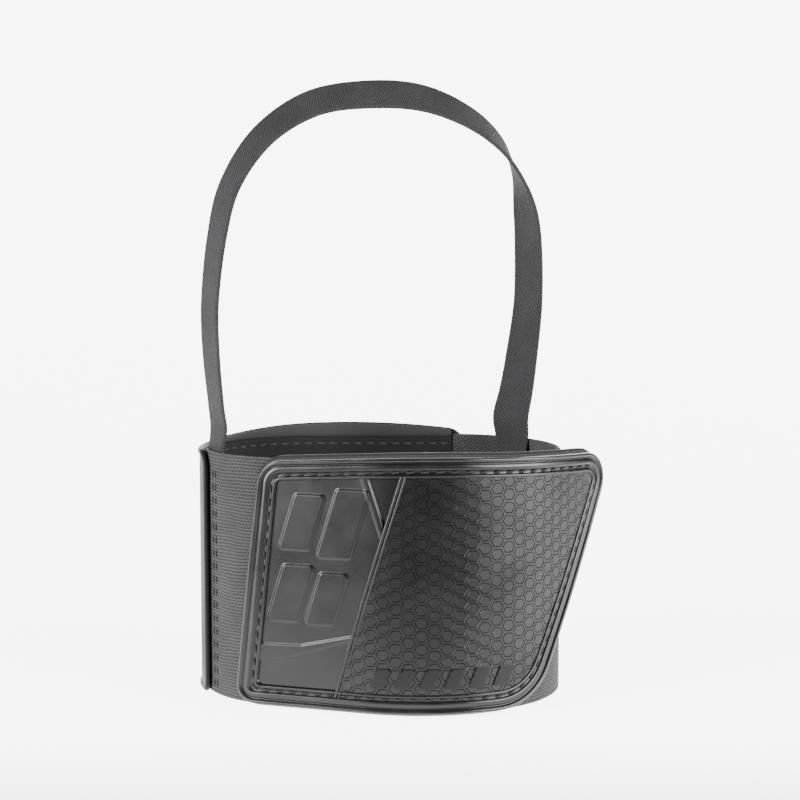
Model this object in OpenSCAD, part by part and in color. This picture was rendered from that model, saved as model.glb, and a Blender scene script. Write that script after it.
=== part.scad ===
// Protective wrap cuff: a moulded shield in front, two wide woven elastics at the sides,
// a flexible panel at the back, and a narrow elastic loop that swings over the top.
// The shield faces -Y, its free end points to +X, and +Z is up.
// The origin is the middle of the bounding box, on the surface that the cuff stands on.

/* [Cuff] */
// Width of the wide woven elastic, which is the height of the band
band_h = 76; // [70:0.5:80]
// Thickness of the wide elastic
elastic_t = 1.5; // [1:0.1:1.8]
// Depth of the band from the shield to the outside of the elastic at the back
band_depth = 77.5; // [74:0.5:82]
// Radius of the band behind the middle of the shield
front_r = 51.5; // [50:0.5:54]
// Turn of the front arc on the left, before the flat wing
wing_turn = 18; // [14:1:20]
// Turn of the front arc on the right, before the tight side arc
side_turn = 35; // [32:1:36]
// Sideways place of the band's outermost line on the left
band_left = 61.7; // [60:0.1:64]
// Radius of the rear corner on the left
rear_corner_r = 32; // [30:0.5:34]

/* [Shield] */
// Height of the shield at its crest
shield_h = 79.2; // [78:0.1:82]
// Thickness of the woven backing
backing_t = 0.8; // [0.6:0.1:1]
// Thickness of the foam sheet
padding_t = 1.5; // [1.2:0.1:1.8]
// Thickness of the moulded shell without its beads
shell_t = 1.4; // [1.2:0.1:1.6]
// Height of the beads above the shell
bead_h = 0.8; // [0.5:0.1:1]
// Width that the backing stands out beyond the shell
flange_w = 1.2; // [0.8:0.1:1.5]
// Length of one stitch with its gap
stitch_pitch = 4.1; // [3.5:0.1:5]

/* [Rear panel] */
// Thickness of the rear panel
rear_t = 2; // [1.6:0.1:2.4]
// Height of the rear panel at its crest
rear_h = 79.8; // [78:0.1:82]

/* [Loop] */
// Width of the narrow elastic strap
strap_w = 12.5; // [10:0.5:14]
// Thickness of the narrow elastic strap
strap_t = 1.2; // [1:0.1:1.4]
// Height of the line that the loop swings about
hinge_z = 84; // [84:0.5:86]

/* [Hidden] */
$fn = 96;
fine = 0.02;

// Lay-out of the band seen from above, before it is centred on the origin.
// Every arc is given by its centre; a station angle of 0 faces -Y and grows towards +X.
shield_t = backing_t + padding_t + shell_t + bead_h;
front_c = [5.9, shield_t + front_r];
side_r = (band_depth - shield_t - front_r * (1 - cos(side_turn))) / (1 + cos(side_turn));
side_c = front_c + (front_r - side_r) * [sin(side_turn), -cos(side_turn)];
rear_c = [rear_corner_r - band_left, band_depth - rear_corner_r];
wing_p = front_c + front_r * [-sin(wing_turn), -cos(wing_turn)];
left_r = (rear_c.y - wing_p.y - tan(wing_turn) * (wing_p.x + band_left))
    / (cos(wing_turn) - tan(wing_turn) * (1 - sin(wing_turn)));
left_c = [left_r - band_left, rear_c.y];
wing_len = (wing_p.x + band_left - left_r * (1 - sin(wing_turn))) / cos(wing_turn);

// The right end of the shield leaves the band on a flatter arc of its own.
free_turn = 42;
free_r = 145.5;
free_c = front_c + (front_r - free_r) * [sin(free_turn), -cos(free_turn)];
free_end = 60;

// Uncut wall of the shield: station angle of its left end, and its height
wall_start = -52;
wall_h = band_h + 8;
// Prisms that cut the shield run this deep, from this far behind its foremost face
cut_from = 60;
cut_depth = 80;

// Middle of the whole width and depth, which is moved to the origin
mid_y = (band_depth + rear_t) / 2;
mid_x = 0.37;

// Shield outline seen from the front: corner points and their radii, from the bottom left
// round to the top left. The top edge is a low crown.
outline = [[-51.2, 0], [42.4, 0], [68.0, 76.4], [7, shield_h + 0.5], [-43.2, 76.6]];
outline_r = [6.5, 21, 9.7, 300, 9];
// Distances of the rim's bead, ridge, stitches and inner bead from the outline, and widths
bead_w = 1.8;
ridge_in = 3.6;
ridge_w = 1.5;
stitch_in = 6;
inner_in = 6.9;
inner_w = 1.1;
// Share of the outer bead's height that the ridge and the inner bead reach
low_bead = 0.6;
// Least radius of a corner once the outline is inset
corner_min = 2.5;
corner_steps = 10;

// Diagonal double bead between the two fields of the shell
diag_top = [0.7, 71.2];
diag_foot = [-19.0, 7.4];
diag_w = 2.6;

// Generic row of slanted bars in the lower part of the shell, clear of the inner bead
bar_count = 6;
bar_pitch = 7.4;
bar_x = -9.5;
bar_z = 9.2;
bar_size = [4.6, 5.6];
bar_lean = 2.4;
bar_h = 0.5;

// One thread: its height off the face, its width, its share of a stitch, and the gap
// under it that keeps a straight thread clear of a curved face
thread_t = 0.5;
thread_w = 0.6;
thread_share = 0.62;
thread_gap = 0.04;
thread_off = thread_t / 2 + thread_gap;
// Gap under the slanted bars, for the same reason
bar_gap = 0.08;

// Where the elastics start and stop
left_seam_a = -64;
left_lap = 14;
left_under = 6;
rear_right_x = 19;
elastic_lap = 9;
right_under_a = 18;
sheet_gap = 0.5;

// Rows of seam stitches: degrees or distances from the seam's edge, and their height range
left_rows = [-3, -8];
right_rows = [2.5, 5.5];
under_left_rows = [-25, -30];
under_right_rows = [21, 24];
row_z = [4, 71];

// Crown of the rear panel's top edge: radius and sideways place of its top
crown_r = 280;
crown_x = -17;
crown_depth = 120;
crown_sides = 720;
lining_h = 75;
binding_t = 0.9;
rear_row_drop = 2.2;
rear_row_turn = 80;

// Ends of the loop: place on the inner face of the band, given as a station angle, and
// how far in the strap stands there. The tabs hang down from just under the ends.
loop_left_a = -69.8;
loop_right_a = 138.6;
loop_left_in = 2.3;
loop_right_in = 1.7;
left_anchor = on_arc(left_c, left_r - elastic_t - loop_left_in, loop_left_a);
right_anchor = on_arc(side_c, side_r - elastic_t - loop_right_in, loop_right_a);
tab_len = 56;
tab_top = hinge_z - strap_w / 2 - 0.5;
tack_z = [59, 68];
tack_h = 1.6;
tack_share = 0.75;
loop_axis = (right_anchor - left_anchor) / norm(right_anchor - left_anchor);
loop_span = norm(right_anchor - left_anchor);
loop_turn = atan2(loop_axis.y, loop_axis.x);

// Route of the loop in its own upright plane: distance from the left end, height, and roll
// of the strap about its length. It leans in over the crest and the other way at the right.
loop_route = [[0, hinge_z, 0], [0, 90, 0], [-1.4, 106, 0], [-1.6, 122, 0], [0.8, 142, 4],
    [4.8, 158, 12], [15, 173, 24], [31, 183, 38], [50, 186, 45], [67, 185, 46], [82, 179, 36],
    [93, 170, 16], [99.4, 159, -6], [102.6, 140, -22], [102.8, 122, -22], [100.4, 106, -14],
    [loop_span, 92, -4], [loop_span, hinge_z, 0]];
rings_per_leg = 3;
end_turns = [80, 60, 40, 20];

// ---------------------------------------------------------------- helper functions
function on_arc(c, r, a) = c + r * [sin(a), -cos(a)];
function unit(v) = v / norm(v);
function turned(v) = [-v.y, v.x];

// Moves every edge of an outline (counter-clockwise) inwards by d
function inset(p, d) = [for (i = [0 : len(p) - 1])
    let (n = len(p), a = p[(i + n - 1) % n], b = p[i], c = p[(i + 1) % n],
         na = turned(unit(b - a)), nb = turned(unit(c - b)))
    b + d * (na + nb) / (1 + na * nb)];

// Rounds every corner of an outline with its own radius
function rounded(p, r, steps) = [for (i = [0 : len(p) - 1])
    let (n = len(p), a = p[(i + n - 1) % n], b = p[i], c = p[(i + 1) % n],
         ua = unit(a - b), uc = unit(c - b), half = acos(ua * uc) / 2,
         centre = b + unit(ua + uc) * r[i] / sin(half), start = b + ua * r[i] / tan(half),
         sweep = 180 - 2 * half, v = start - centre)
    for (k = [0 : steps]) let (t = sweep * k / steps)
        centre + [v.x * cos(t) - v.y * sin(t), v.x * sin(t) + v.y * cos(t)]];

// Corner radii of the outline once it is inset by d
function inset_r(d) = [for (r = outline_r) max(r - d, corner_min)];

// Place and station angle of the shield's surface, t outside the band, at a sideways place x
function shield_at(x, t) =
    x < left_c.x - (left_r + t) * sin(wing_turn) ? arc_at(x, left_c, left_r + t, -1)
    : x < front_c.x - (front_r + t) * sin(wing_turn) ? wing_at(x, t)
    : x < front_c.x + (front_r + t) * sin(free_turn) ? arc_at(x, front_c, front_r + t, 1)
    : arc_at(x, free_c, free_r + t, 1);
function arc_at(x, c, r, s) = let (a = asin((x - c.x) / r)) [c.y - r * cos(a), a];
function wing_at(x, t) = let (p = on_arc(front_c, front_r + t, -wing_turn))
    [p.y + (p.x - x) * tan(wing_turn), -wing_turn];

// Point at distance s along a closed path, and the path's direction there
function path_len(p) = [for (i = 0, s = 0; i <= len(p); s = s + (i < len(p)
    ? norm(p[(i + 1) % len(p)] - p[i]) : 0), i = i + 1) s];
function path_at(p, lens, s) = let (i = max([for (k = [0 : len(p) - 1]) lens[k] <= s ? k : 0]),
    a = p[i], b = p[(i + 1) % len(p)], f = (s - lens[i]) / max(norm(b - a), fine))
    [a + (b - a) * f, atan2(b.y - a.y, b.x - a.x)];

// Smooth curve through the route points of the loop
function spline(a, b, c, d, t) = 0.5 * ((2 * b) + (c - a) * t + (2 * a - 5 * b + 4 * c - d) * t * t
    + (3 * b - a - 3 * c + d) * t * t * t);
function smooth(p, steps) = [for (i = [0 : len(p) - 2]) for (k = [0 : steps - 1])
    spline(p[max(i - 1, 0)], p[i], p[i + 1], p[min(i + 2, len(p) - 1)], k / steps),
    p[len(p) - 1]];

// ---------------------------------------------------------------- helper modules
// Part of an upright wall round centre c: band radius r, from t0 to t1 outside it
module ring(c, r, a0, a1, t0, t1, h, z = 0) {
    translate([c.x, c.y, z])
        rotate([0, 0, a0 - 90])
            rotate_extrude(angle = a1 - a0)
                translate([r + t0, 0]) square([t1 - t0, h]);
}

// The flat wing on the left, between the left arc and the front arc
module wing(t0, t1, h, z = 0) {
    translate([wing_p.x, wing_p.y, z])
        rotate([0, 0, 180 - wing_turn])
            translate([0, t0, 0]) cube([wing_len, t1 - t0, h]);
}

// The flat stretch at the back
module rear_flat(x0, x1, t0, t1, h, z = 0) {
    translate([x0, band_depth + t0, z]) cube([x1 - x0, t1 - t0, h]);
}

// Wall of the whole shield before it is cut to its outline
module shield_wall(t0, t1) {
    ring(left_c, left_r, wall_start, -wing_turn, t0, t1, wall_h);
    wing(t0, t1, wall_h);
    ring(front_c, front_r, -wing_turn, free_turn, t0, t1, wall_h);
    ring(free_c, free_r, free_turn, free_end, t0, t1, wall_h);
}

// Prism that runs through the shield from front to back
module prism(p) {
    translate([0, cut_from, 0]) rotate([90, 0, 0]) linear_extrude(cut_depth) polygon(p);
}

// The same, with every corner of its outline rounded
module through(p, r) {
    prism(rounded(p, r, corner_steps));
}

// Sheet of the shield between two distances from the band, with its edge inset
module shield_sheet(t0, t1, in) {
    intersection() {
        shield_wall(t0, t1);
        through(inset(outline, in), inset_r(in));
    }
}

// Raised rim that follows the shield's outline
module shield_rim(t0, t1, in, w) {
    difference() {
        shield_sheet(t0, t1, in);
        through(inset(outline, in + w), inset_r(in + w));
    }
}

// Four-sided prism through the shield along a straight line seen from the front
module slanted(a, b, w) {
    prism([a - [w, 0] / 2, b - [w, 0] / 2, b + [w, 0] / 2, a + [w, 0] / 2]);
}

// One thread: place of its middle, station angle of the face and slope along the face
module thread(x, y, z, a, slope) {
    translate([x, y, z])
        rotate([0, 0, a])
            rotate([0, -slope, 0])
                cube([stitch_pitch * thread_share, thread_t, thread_w], center = true);
}

// Upright row of stitches on an arc's face: side is 1 on the outside and -1 on the inside
module seam_row(c, r, side, a, z0, z1) {
    p = on_arc(c, r + side * thread_off, a);
    for (i = [0 : floor((z1 - z0) / stitch_pitch) - 1])
        thread(p.x, p.y, z0 + (i + 0.5) * stitch_pitch, a, 90);
}

module centred() {
    translate([-mid_x, -mid_y, 0]) children();
}

// ---------------------------------------------------------------- shield
module shield_shell() {
    base = backing_t + padding_t;
    color("#2b2c2e") centred() {
        shield_sheet(base, base + shell_t, flange_w);
        shield_rim(base + shell_t - fine, base + shell_t + bead_h, flange_w, bead_w);
        shield_rim(base + shell_t - fine, base + shell_t + bead_h * low_bead, ridge_in, ridge_w);
        shield_rim(base + shell_t - fine, base + shell_t + bead_h * low_bead, inner_in, inner_w);
        intersection() {
            shield_wall(base + shell_t - fine, base + shell_t + bead_h * low_bead);
            slanted(diag_foot, diag_top, diag_w);
        }
    }
}

module shield_padding() {
    color("#3a3a3c") centred() shield_sheet(backing_t, backing_t + padding_t, flange_w / 2);
}

module shield_backing() {
    color("#202022") centred() shield_sheet(0, backing_t, 0);
}

module shield_stitching() {
    path = rounded(inset(outline, stitch_in), inset_r(stitch_in), corner_steps);
    lens = path_len(path);
    lift = backing_t + padding_t + shell_t + thread_off;
    count = round(lens[len(path)] / stitch_pitch);
    color("#19191a") centred()
        for (i = [0 : count - 1]) {
            q = path_at(path, lens, lens[len(path)] * (i + 0.5) / count);
            s = shield_at(q[0].x, lift);
            thread(q[0].x, s[0], q[0].y, s[1], q[1]);
        }
}

module accent_bars() {
    lift = backing_t + padding_t + shell_t + bar_gap;
    color("#0f0f10") centred()
        for (i = [0 : bar_count - 1]) {
            x = bar_x + i * bar_pitch;
            intersection() {
                shield_wall(lift, lift + bar_h);
                prism([[x, bar_z], [x + bar_size.x, bar_z],
                    [x + bar_size.x + bar_lean, bar_z + bar_size.y],
                    [x + bar_lean, bar_z + bar_size.y]]);
            }
        }
}

// ---------------------------------------------------------------- elastics
module left_elastic() {
    color("#333335") centred() {
        ring(left_c, left_r, left_seam_a - left_lap, -wing_turn, -elastic_t, 0, band_h);
        wing(-elastic_t, 0, band_h);
        ring(front_c, front_r, -wing_turn, left_under - wing_turn, -elastic_t, 0, band_h);
    }
}

module right_elastic() {
    color("#333335") centred() {
        ring(front_c, front_r, right_under_a, side_turn, -elastic_t, 0, band_h);
        ring(side_c, side_r, side_turn, 180, -elastic_t, 0, band_h);
        rear_flat(rear_right_x - elastic_lap, side_c.x, -elastic_t, 0, band_h);
    }
}

// ---------------------------------------------------------------- rear panel
// Large disc that trims a sheet to the low crown of the rear panel's top edge
module rear_trim(h) {
    translate([crown_x, 0, h - crown_r]) rotate([-90, 0, 0])
        cylinder(r = crown_r, h = crown_depth, $fn = crown_sides);
}

module rear_wall(t0, t1, a0, x1, z0, h) {
    ring(left_c, left_r, -90, a0, t0, t1, h - z0, z0);
    ring(rear_c, rear_corner_r, -180, -90, t0, t1, h - z0, z0);
    rear_flat(rear_c.x, min(x1, side_c.x), t0, t1, h - z0, z0);
    if (x1 > side_c.x)
        ring(side_c, side_r, 180 - asin((x1 - side_c.x) / side_r), 180, t0, t1, h - z0, z0);
}

module rear_panel() {
    color("#262628") centred() intersection() {
        rear_wall(0, rear_t, left_seam_a, rear_right_x, 0, rear_h);
        rear_trim(rear_h);
    }
}

module rear_lining() {
    color("#1c1c1e") centred()
        rear_wall(-elastic_t, 0, left_seam_a - left_lap - 1, rear_right_x - elastic_lap - sheet_gap,
            0, lining_h);
}

module rear_edge_binding() {
    color("#3d3d40") centred() intersection() {
        rear_wall(-binding_t, -fine, left_seam_a - left_lap - 2,
            rear_right_x - elastic_lap - 2 * sheet_gap, lining_h + thread_gap, rear_h);
        rear_trim(rear_h);
    }
}

module rear_stitching() {
    z = lining_h - rear_row_drop;
    r = rear_corner_r - elastic_t - thread_off;
    turn = stitch_pitch / r * 180 / PI;
    color("#4a4a4d") centred() {
        for (i = [0 : floor((rear_right_x - elastic_lap - rear_c.x) / stitch_pitch) - 1])
            thread(rear_c.x + (i + 0.5) * stitch_pitch, rear_c.y + r, z, 0, 0);
        for (i = [0 : floor(rear_row_turn / turn) - 1]) {
            a = (i + 0.5) * turn - 180;
            p = on_arc(rear_c, r, a);
            thread(p.x, p.y, z, a, 0);
        }
    }
}

// ---------------------------------------------------------------- seams
module left_seam_stitching() {
    color("#4a4a4d") centred()
        for (a = left_rows)
            seam_row(left_c, left_r + rear_t, 1, left_seam_a + a, row_z[0], row_z[1]);
}

module right_seam_stitching() {
    color("#4a4a4d") centred()
        for (x = right_rows)
            for (i = [0 : floor((row_z[1] - row_z[0]) / stitch_pitch) - 1])
                thread(rear_right_x - elastic_lap + x, band_depth - elastic_t - thread_off,
                    row_z[0] + (i + 0.5) * stitch_pitch, 0, 90);
}

module shield_left_seam() {
    color("#4a4a4d") centred()
        for (a = under_left_rows)
            seam_row(left_c, left_r - elastic_t, -1, a, row_z[0], row_z[1]);
}

module shield_right_seam() {
    color("#4a4a4d") centred()
        for (a = under_right_rows)
            seam_row(front_c, front_r - elastic_t, -1, a, row_z[0], row_z[1]);
}

// ---------------------------------------------------------------- loop
// Folded-back end of the strap, flat on the inside of the band
module tab(c, r, a) {
    half = asin(strap_w / 2 / (r - elastic_t));
    ring(c, r, a - half, a + half, -elastic_t - strap_t, -elastic_t, tab_len, tab_top - tab_len);
}

module loop_end_left() {
    color("#2e2e30") centred() tab(left_c, left_r, loop_left_a);
}

module loop_end_right() {
    color("#2e2e30") centred() tab(side_c, side_r, loop_right_a);
}

// Two dense bars of thread that hold a tab
module bar_tack(c, r, a) {
    half = asin(strap_w / 2 / (r - elastic_t)) * tack_share;
    for (z = tack_z)
        ring(c, r, a - half, a + half, -elastic_t - strap_t - thread_t, -elastic_t - strap_t,
            tack_h, z);
}

module bar_tack_left() {
    color("#555558") centred() bar_tack(left_c, left_r, loop_left_a);
}

module bar_tack_right() {
    color("#555558") centred() bar_tack(side_c, side_r, loop_right_a);
}

// One ring of the strap: its four corners, from its place, roll and width and its direction
function strap_ring(q, dir) = let (inward = [dir.y, -dir.x],
    w = [inward.x * sin(q.z), cos(q.z), inward.y * sin(q.z)] * q[3] / 2,
    n = [inward.x * cos(q.z), -sin(q.z), inward.y * cos(q.z)] * strap_t / 2,
    m = [q.x, 0, q.y])
    [m - w - n, m + w - n, m + w + n, m - w + n];

// Ring of a half-round end below the line of the swing, at angle a round the end
function end_ring(u, a) = [u, hinge_z - strap_w / 2 * sin(a), 0, strap_w * cos(a)];

module heel_loop() {
    turns = len(end_turns) - 1;
    route = concat([for (k = [0 : turns]) end_ring(0, end_turns[k])],
        [for (q = smooth(loop_route, rings_per_leg)) concat(q, [strap_w])],
        [for (k = [turns : -1 : 0]) end_ring(loop_span, end_turns[k])]);
    last = len(route) - 1;
    points = [for (i = [0 : last]) let (a = route[max(i - 1, 0)], b = route[min(i + 1, last)],
        dir = unit([b.x - a.x, b.y - a.y]), r = strap_ring(route[i], dir)) each r];
    sides = [for (i = [0 : last - 1]) for (k = [0 : 3])
        let (a = 4 * i + k, b = 4 * i + (k + 1) % 4)
        each [[a, b, b + 4], [a, b + 4, a + 4]]];
    start_cap = [[3, 2, 1, 0]];
    end_cap = [[4 * last, 4 * last + 1, 4 * last + 2, 4 * last + 3]];
    color("#2e2e30") centred()
        translate([left_anchor.x, left_anchor.y, 0]) rotate([0, 0, loop_turn])
            mirror([0, 1, 0]) polyhedron(points, concat(start_cap, sides, end_cap));
}

shield_shell();
shield_padding();
shield_backing();
shield_stitching();
accent_bars();
left_elastic();
right_elastic();
rear_panel();
rear_lining();
rear_edge_binding();
rear_stitching();
left_seam_stitching();
right_seam_stitching();
shield_left_seam();
shield_right_seam();
loop_end_left();
loop_end_right();
bar_tack_left();
bar_tack_right();
heel_loop();
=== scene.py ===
"""Protective wrap cuff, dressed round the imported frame.

A moulded shield on foam and woven backing stands in front, two wide elastics and a rear
panel close the cuff, and a narrow elastic strap loops over it. Lengths are in millimetres in
the maker's lay-out, with the shield's foremost face at depth 0, until Layout.place turns
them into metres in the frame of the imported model.
"""

from __future__ import annotations

import logging
import math
from dataclasses import dataclass, field
from enum import Enum
from typing import Callable, Iterable, Sequence

import bpy
import numpy as np
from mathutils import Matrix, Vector


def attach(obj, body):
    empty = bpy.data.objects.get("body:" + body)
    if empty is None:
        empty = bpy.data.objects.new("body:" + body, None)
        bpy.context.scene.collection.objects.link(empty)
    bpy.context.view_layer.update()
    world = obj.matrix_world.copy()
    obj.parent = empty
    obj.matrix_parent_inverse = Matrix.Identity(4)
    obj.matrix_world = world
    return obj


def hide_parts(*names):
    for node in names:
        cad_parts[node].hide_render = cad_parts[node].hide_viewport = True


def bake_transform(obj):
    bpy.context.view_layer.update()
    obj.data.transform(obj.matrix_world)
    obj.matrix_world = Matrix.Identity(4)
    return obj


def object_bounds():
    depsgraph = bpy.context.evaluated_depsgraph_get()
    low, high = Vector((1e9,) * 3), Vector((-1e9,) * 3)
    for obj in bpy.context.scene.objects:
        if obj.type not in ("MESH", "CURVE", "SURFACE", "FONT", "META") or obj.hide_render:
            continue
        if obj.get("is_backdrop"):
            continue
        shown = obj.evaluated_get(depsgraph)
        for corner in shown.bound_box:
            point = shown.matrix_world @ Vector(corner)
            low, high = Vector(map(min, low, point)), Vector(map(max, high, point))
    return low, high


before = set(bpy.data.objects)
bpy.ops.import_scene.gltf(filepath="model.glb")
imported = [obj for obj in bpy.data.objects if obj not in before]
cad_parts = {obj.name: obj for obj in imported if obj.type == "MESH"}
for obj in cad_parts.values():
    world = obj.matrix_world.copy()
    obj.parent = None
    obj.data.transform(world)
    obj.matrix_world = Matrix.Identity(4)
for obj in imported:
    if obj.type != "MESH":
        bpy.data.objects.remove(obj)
CAD_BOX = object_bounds()

log = logging.getLogger("cuff")
MM = 0.001
PATH_STEP = 0.2  # longest step along a plan path, in millimetres
SAME_PLACE = 1e-6  # distance under which two points of a path are one
SHORT_EDGE = 1e-4  # shortest edge of an outline that is cut along, in millimetres
CUT_WELD = 0.004  # distance under which points left by a cut are joined, in millimetres
WELD = 1e-6  # distance under which points of a finished piece are joined, in metres

Number = np.ndarray | float
Triple = tuple[np.ndarray, np.ndarray, np.ndarray]
Colour = tuple[float, float, float]


# ---------------------------------------------------------------- lay-out in plan
def on_arc(centre: tuple[float, float], radius: float, station: float) -> tuple[float, float]:
    """Point of an arc at a station angle: 0 faces the viewer and it grows to the right."""
    a = math.radians(station)
    return centre[0] + radius * math.sin(a), centre[1] - radius * math.cos(a)


@dataclass(frozen=True)
class Arc:
    """Part of a circle in plan, from one station angle to another, in degrees."""

    centre: tuple[float, float]
    radius: float
    start: float
    end: float

    def rows(self, step: float) -> np.ndarray:
        """Rows of x, y and station angle along the arc.

        Args:
            step: Longest distance between two rows.

        Returns:
            An array of shape (n, 3).
        """
        n = max(2, int(abs(self.end - self.start) * math.pi / 180 * self.radius / step) + 1)
        a = np.linspace(self.start, self.end, n)
        r = np.radians(a)
        x = self.centre[0] + self.radius * np.sin(r)
        y = self.centre[1] - self.radius * np.cos(r)
        return np.stack([x, y, a], axis=1)


@dataclass(frozen=True)
class Straight:
    """Straight stretch in plan whose face looks along one station angle."""

    start: tuple[float, float]
    end: tuple[float, float]
    station: float

    def rows(self, step: float) -> np.ndarray:
        """Rows of x, y and station angle along the stretch.

        Args:
            step: Longest distance between two rows.

        Returns:
            An array of shape (n, 3).
        """
        n = max(2, int(math.dist(self.start, self.end) / step) + 1)
        x = np.linspace(self.start[0], self.end[0], n)
        y = np.linspace(self.start[1], self.end[1], n)
        return np.stack([x, y, np.full(n, self.station)], axis=1)


class PlanPath:
    """Line in plan that a sheet of the cuff follows, measured by its length s."""

    def __init__(self, parts: Sequence[Arc | Straight], zero_x: float | None = None) -> None:
        """Joins the parts end to end.

        Args:
            parts: The arcs and straights in order.
            zero_x: Sideways place where s is 0, or None for the path's start.
        """
        rows = np.concatenate([p.rows(PATH_STEP) for p in parts])
        step = np.hypot(np.diff(rows[:, 0]), np.diff(rows[:, 1]))
        keep = np.concatenate([[True], step > SAME_PLACE])
        rows = rows[keep]
        self.x, self.y, self.a = rows.T
        self.s = np.concatenate([[0], np.cumsum(np.hypot(np.diff(self.x), np.diff(self.y)))])
        if zero_x is not None:
            self.s = self.s - np.interp(zero_x, self.x, self.s)

    def at(self, s: Number, t: Number) -> Triple:
        """Plan place of points at length s that stand t outside the path.

        Args:
            s: Length along the path.
            t: Distance outside it.

        Returns:
            x, y and the station angle in radians.
        """
        a = np.radians(np.interp(s, self.s, self.a))
        x = np.interp(s, self.s, self.x) + t * np.sin(a)
        y = np.interp(s, self.s, self.y) - t * np.cos(a)
        return x, y, a

    def length_at_x(self, x: Number, t: float) -> np.ndarray:
        """Length s of the points whose sideways place is x, on the face t outside the path."""
        xs, _, _ = self.at(self.s, t)
        return np.interp(x, xs, self.s)


@dataclass(frozen=True)
class Layout:
    """Plan of the cuff, repeated from the frame's own lay-out."""

    band_h: float = 76.0
    elastic_t: float = 1.5
    band_depth: float = 77.5
    front_c: tuple[float, float] = (5.9, 56.0)
    front_r: float = 51.5
    wing_turn: float = 18.0
    wing_end: tuple[float, float] = (-10.0144, 7.0206)
    left_c: tuple[float, float] = (-31.8521, 45.5)
    left_r: float = 29.8479
    rear_c: tuple[float, float] = (-29.7, 45.5)
    rear_r: float = 32.0
    side_c: tuple[float, float] = (15.359, 42.4912)
    side_r: float = 35.0088
    side_turn: float = 35.0
    free_turn: float = 42.0
    free_r: float = 145.5
    rear_t: float = 2.0
    rear_station: float = 170.3
    lap_station: float = 176.3
    shield_from: float = -56.0
    shield_to: float = 64.0
    left_from: float = -78.0
    left_to: float = -12.0
    right_from: float = 18.0
    rear_to: float = 296.0
    lining_to: float = 280.5
    lining_gap: float = 0.6
    hinge_z: float = 84.0
    mid: tuple[float, float] = (0.37, 39.75)

    def place(self, xyz: np.ndarray) -> np.ndarray:
        """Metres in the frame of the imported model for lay-out points in millimetres."""
        out = np.array(xyz, float)
        out[..., 0] -= self.mid[0]
        out[..., 1] -= self.mid[1]
        return out * MM

    def wing(self) -> Straight:
        """The flat stretch between the left arc and the front arc."""
        start = on_arc(self.left_c, self.left_r, -self.wing_turn)
        return Straight(start, self.wing_end, -self.wing_turn)

    def shield(self) -> PlanPath:
        """Path under the shield, with s 0 at the foremost point of the front arc."""
        free_c = on_arc(self.front_c, self.front_r - self.free_r, self.free_turn)
        return PlanPath(
            [
                Arc(self.left_c, self.left_r, self.shield_from, -self.wing_turn),
                self.wing(),
                Arc(self.front_c, self.front_r, -self.wing_turn, self.free_turn),
                Arc(free_c, self.free_r, self.free_turn, self.shield_to),
            ],
            zero_x=self.front_c[0],
        )

    def left(self) -> PlanPath:
        """Path of the left elastic, from under the rear panel to under the shield."""
        return PlanPath(
            [
                Arc(self.left_c, self.left_r, self.left_from, -self.wing_turn),
                self.wing(),
                Arc(self.front_c, self.front_r, -self.wing_turn, self.left_to),
            ]
        )

    def right(self) -> PlanPath:
        """Path of the right elastic, from under the shield round to the rear panel."""
        return PlanPath(
            [
                Arc(self.front_c, self.front_r, self.right_from, self.side_turn),
                Arc(self.side_c, self.side_r, self.side_turn, self.lap_station),
            ]
        )

    def behind(self, start: float, end: float) -> PlanPath:
        """Path round the back of the cuff.

        Args:
            start: Station angle of its start, on the arc of the right side.
            end: Station angle of its end, on the arc of the left side.

        Returns:
            The path.
        """
        return PlanPath(
            [
                Arc(self.side_c, self.side_r, start, 180),
                Straight((self.side_c[0], self.band_depth), (self.rear_c[0], self.band_depth), 180),
                Arc(self.rear_c, self.rear_r, 180, 270),
                Arc(self.left_c, self.left_r, 270, end),
            ]
        )

    def rear(self) -> PlanPath:
        """Path of the rear panel, from its right end at the back round to the left seam."""
        return self.behind(self.rear_station, self.rear_to)

    def lining(self) -> PlanPath:
        """Path of the rear lining, between the ends of the two elastics."""
        return self.behind(self.lap_station + self.lining_gap, self.lining_to)


LAYOUT = Layout()


# ---------------------------------------------------------------- outlines
def unit(v: np.ndarray) -> np.ndarray:
    """The vector at length 1."""
    return v / np.linalg.norm(v)


def inset_outline(corners: np.ndarray, d: float) -> np.ndarray:
    """Moves every edge of an outline inwards.

    Args:
        corners: Corner points, counter-clockwise.
        d: How far the edges move.

    Returns:
        The new corner points.
    """
    out = []
    for i in range(len(corners)):
        a, b, c = corners[i - 1], corners[i], corners[(i + 1) % len(corners)]
        ab, bc = unit(b - a), unit(c - b)
        na, nb = np.array([-ab[1], ab[0]]), np.array([-bc[1], bc[0]])
        out.append(b + d * (na + nb) / (1 + na @ nb))
    return np.array(out)


def round_outline(corners: np.ndarray, radii: Sequence[float], steps: int = 12) -> np.ndarray:
    """Rounds each corner of an outline.

    Args:
        corners: Corner points, counter-clockwise.
        radii: One radius for each corner.
        steps: Number of chords in each rounded corner.

    Returns:
        The points of the rounded outline.
    """
    out = []
    for i, r in enumerate(radii):
        a, b, c = corners[i - 1], corners[i], corners[(i + 1) % len(corners)]
        ua, uc = unit(a - b), unit(c - b)
        half = math.acos(float(ua @ uc)) / 2
        centre = b + unit(ua + uc) * r / math.sin(half)
        v = b + ua * r / math.tan(half) - centre
        for k in range(steps + 1):
            t = (math.pi - 2 * half) * k / steps
            cos_t, sin_t = math.cos(t), math.sin(t)
            out.append(centre + [v[0] * cos_t - v[1] * sin_t, v[0] * sin_t + v[1] * cos_t])
    return np.array(out)


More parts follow.
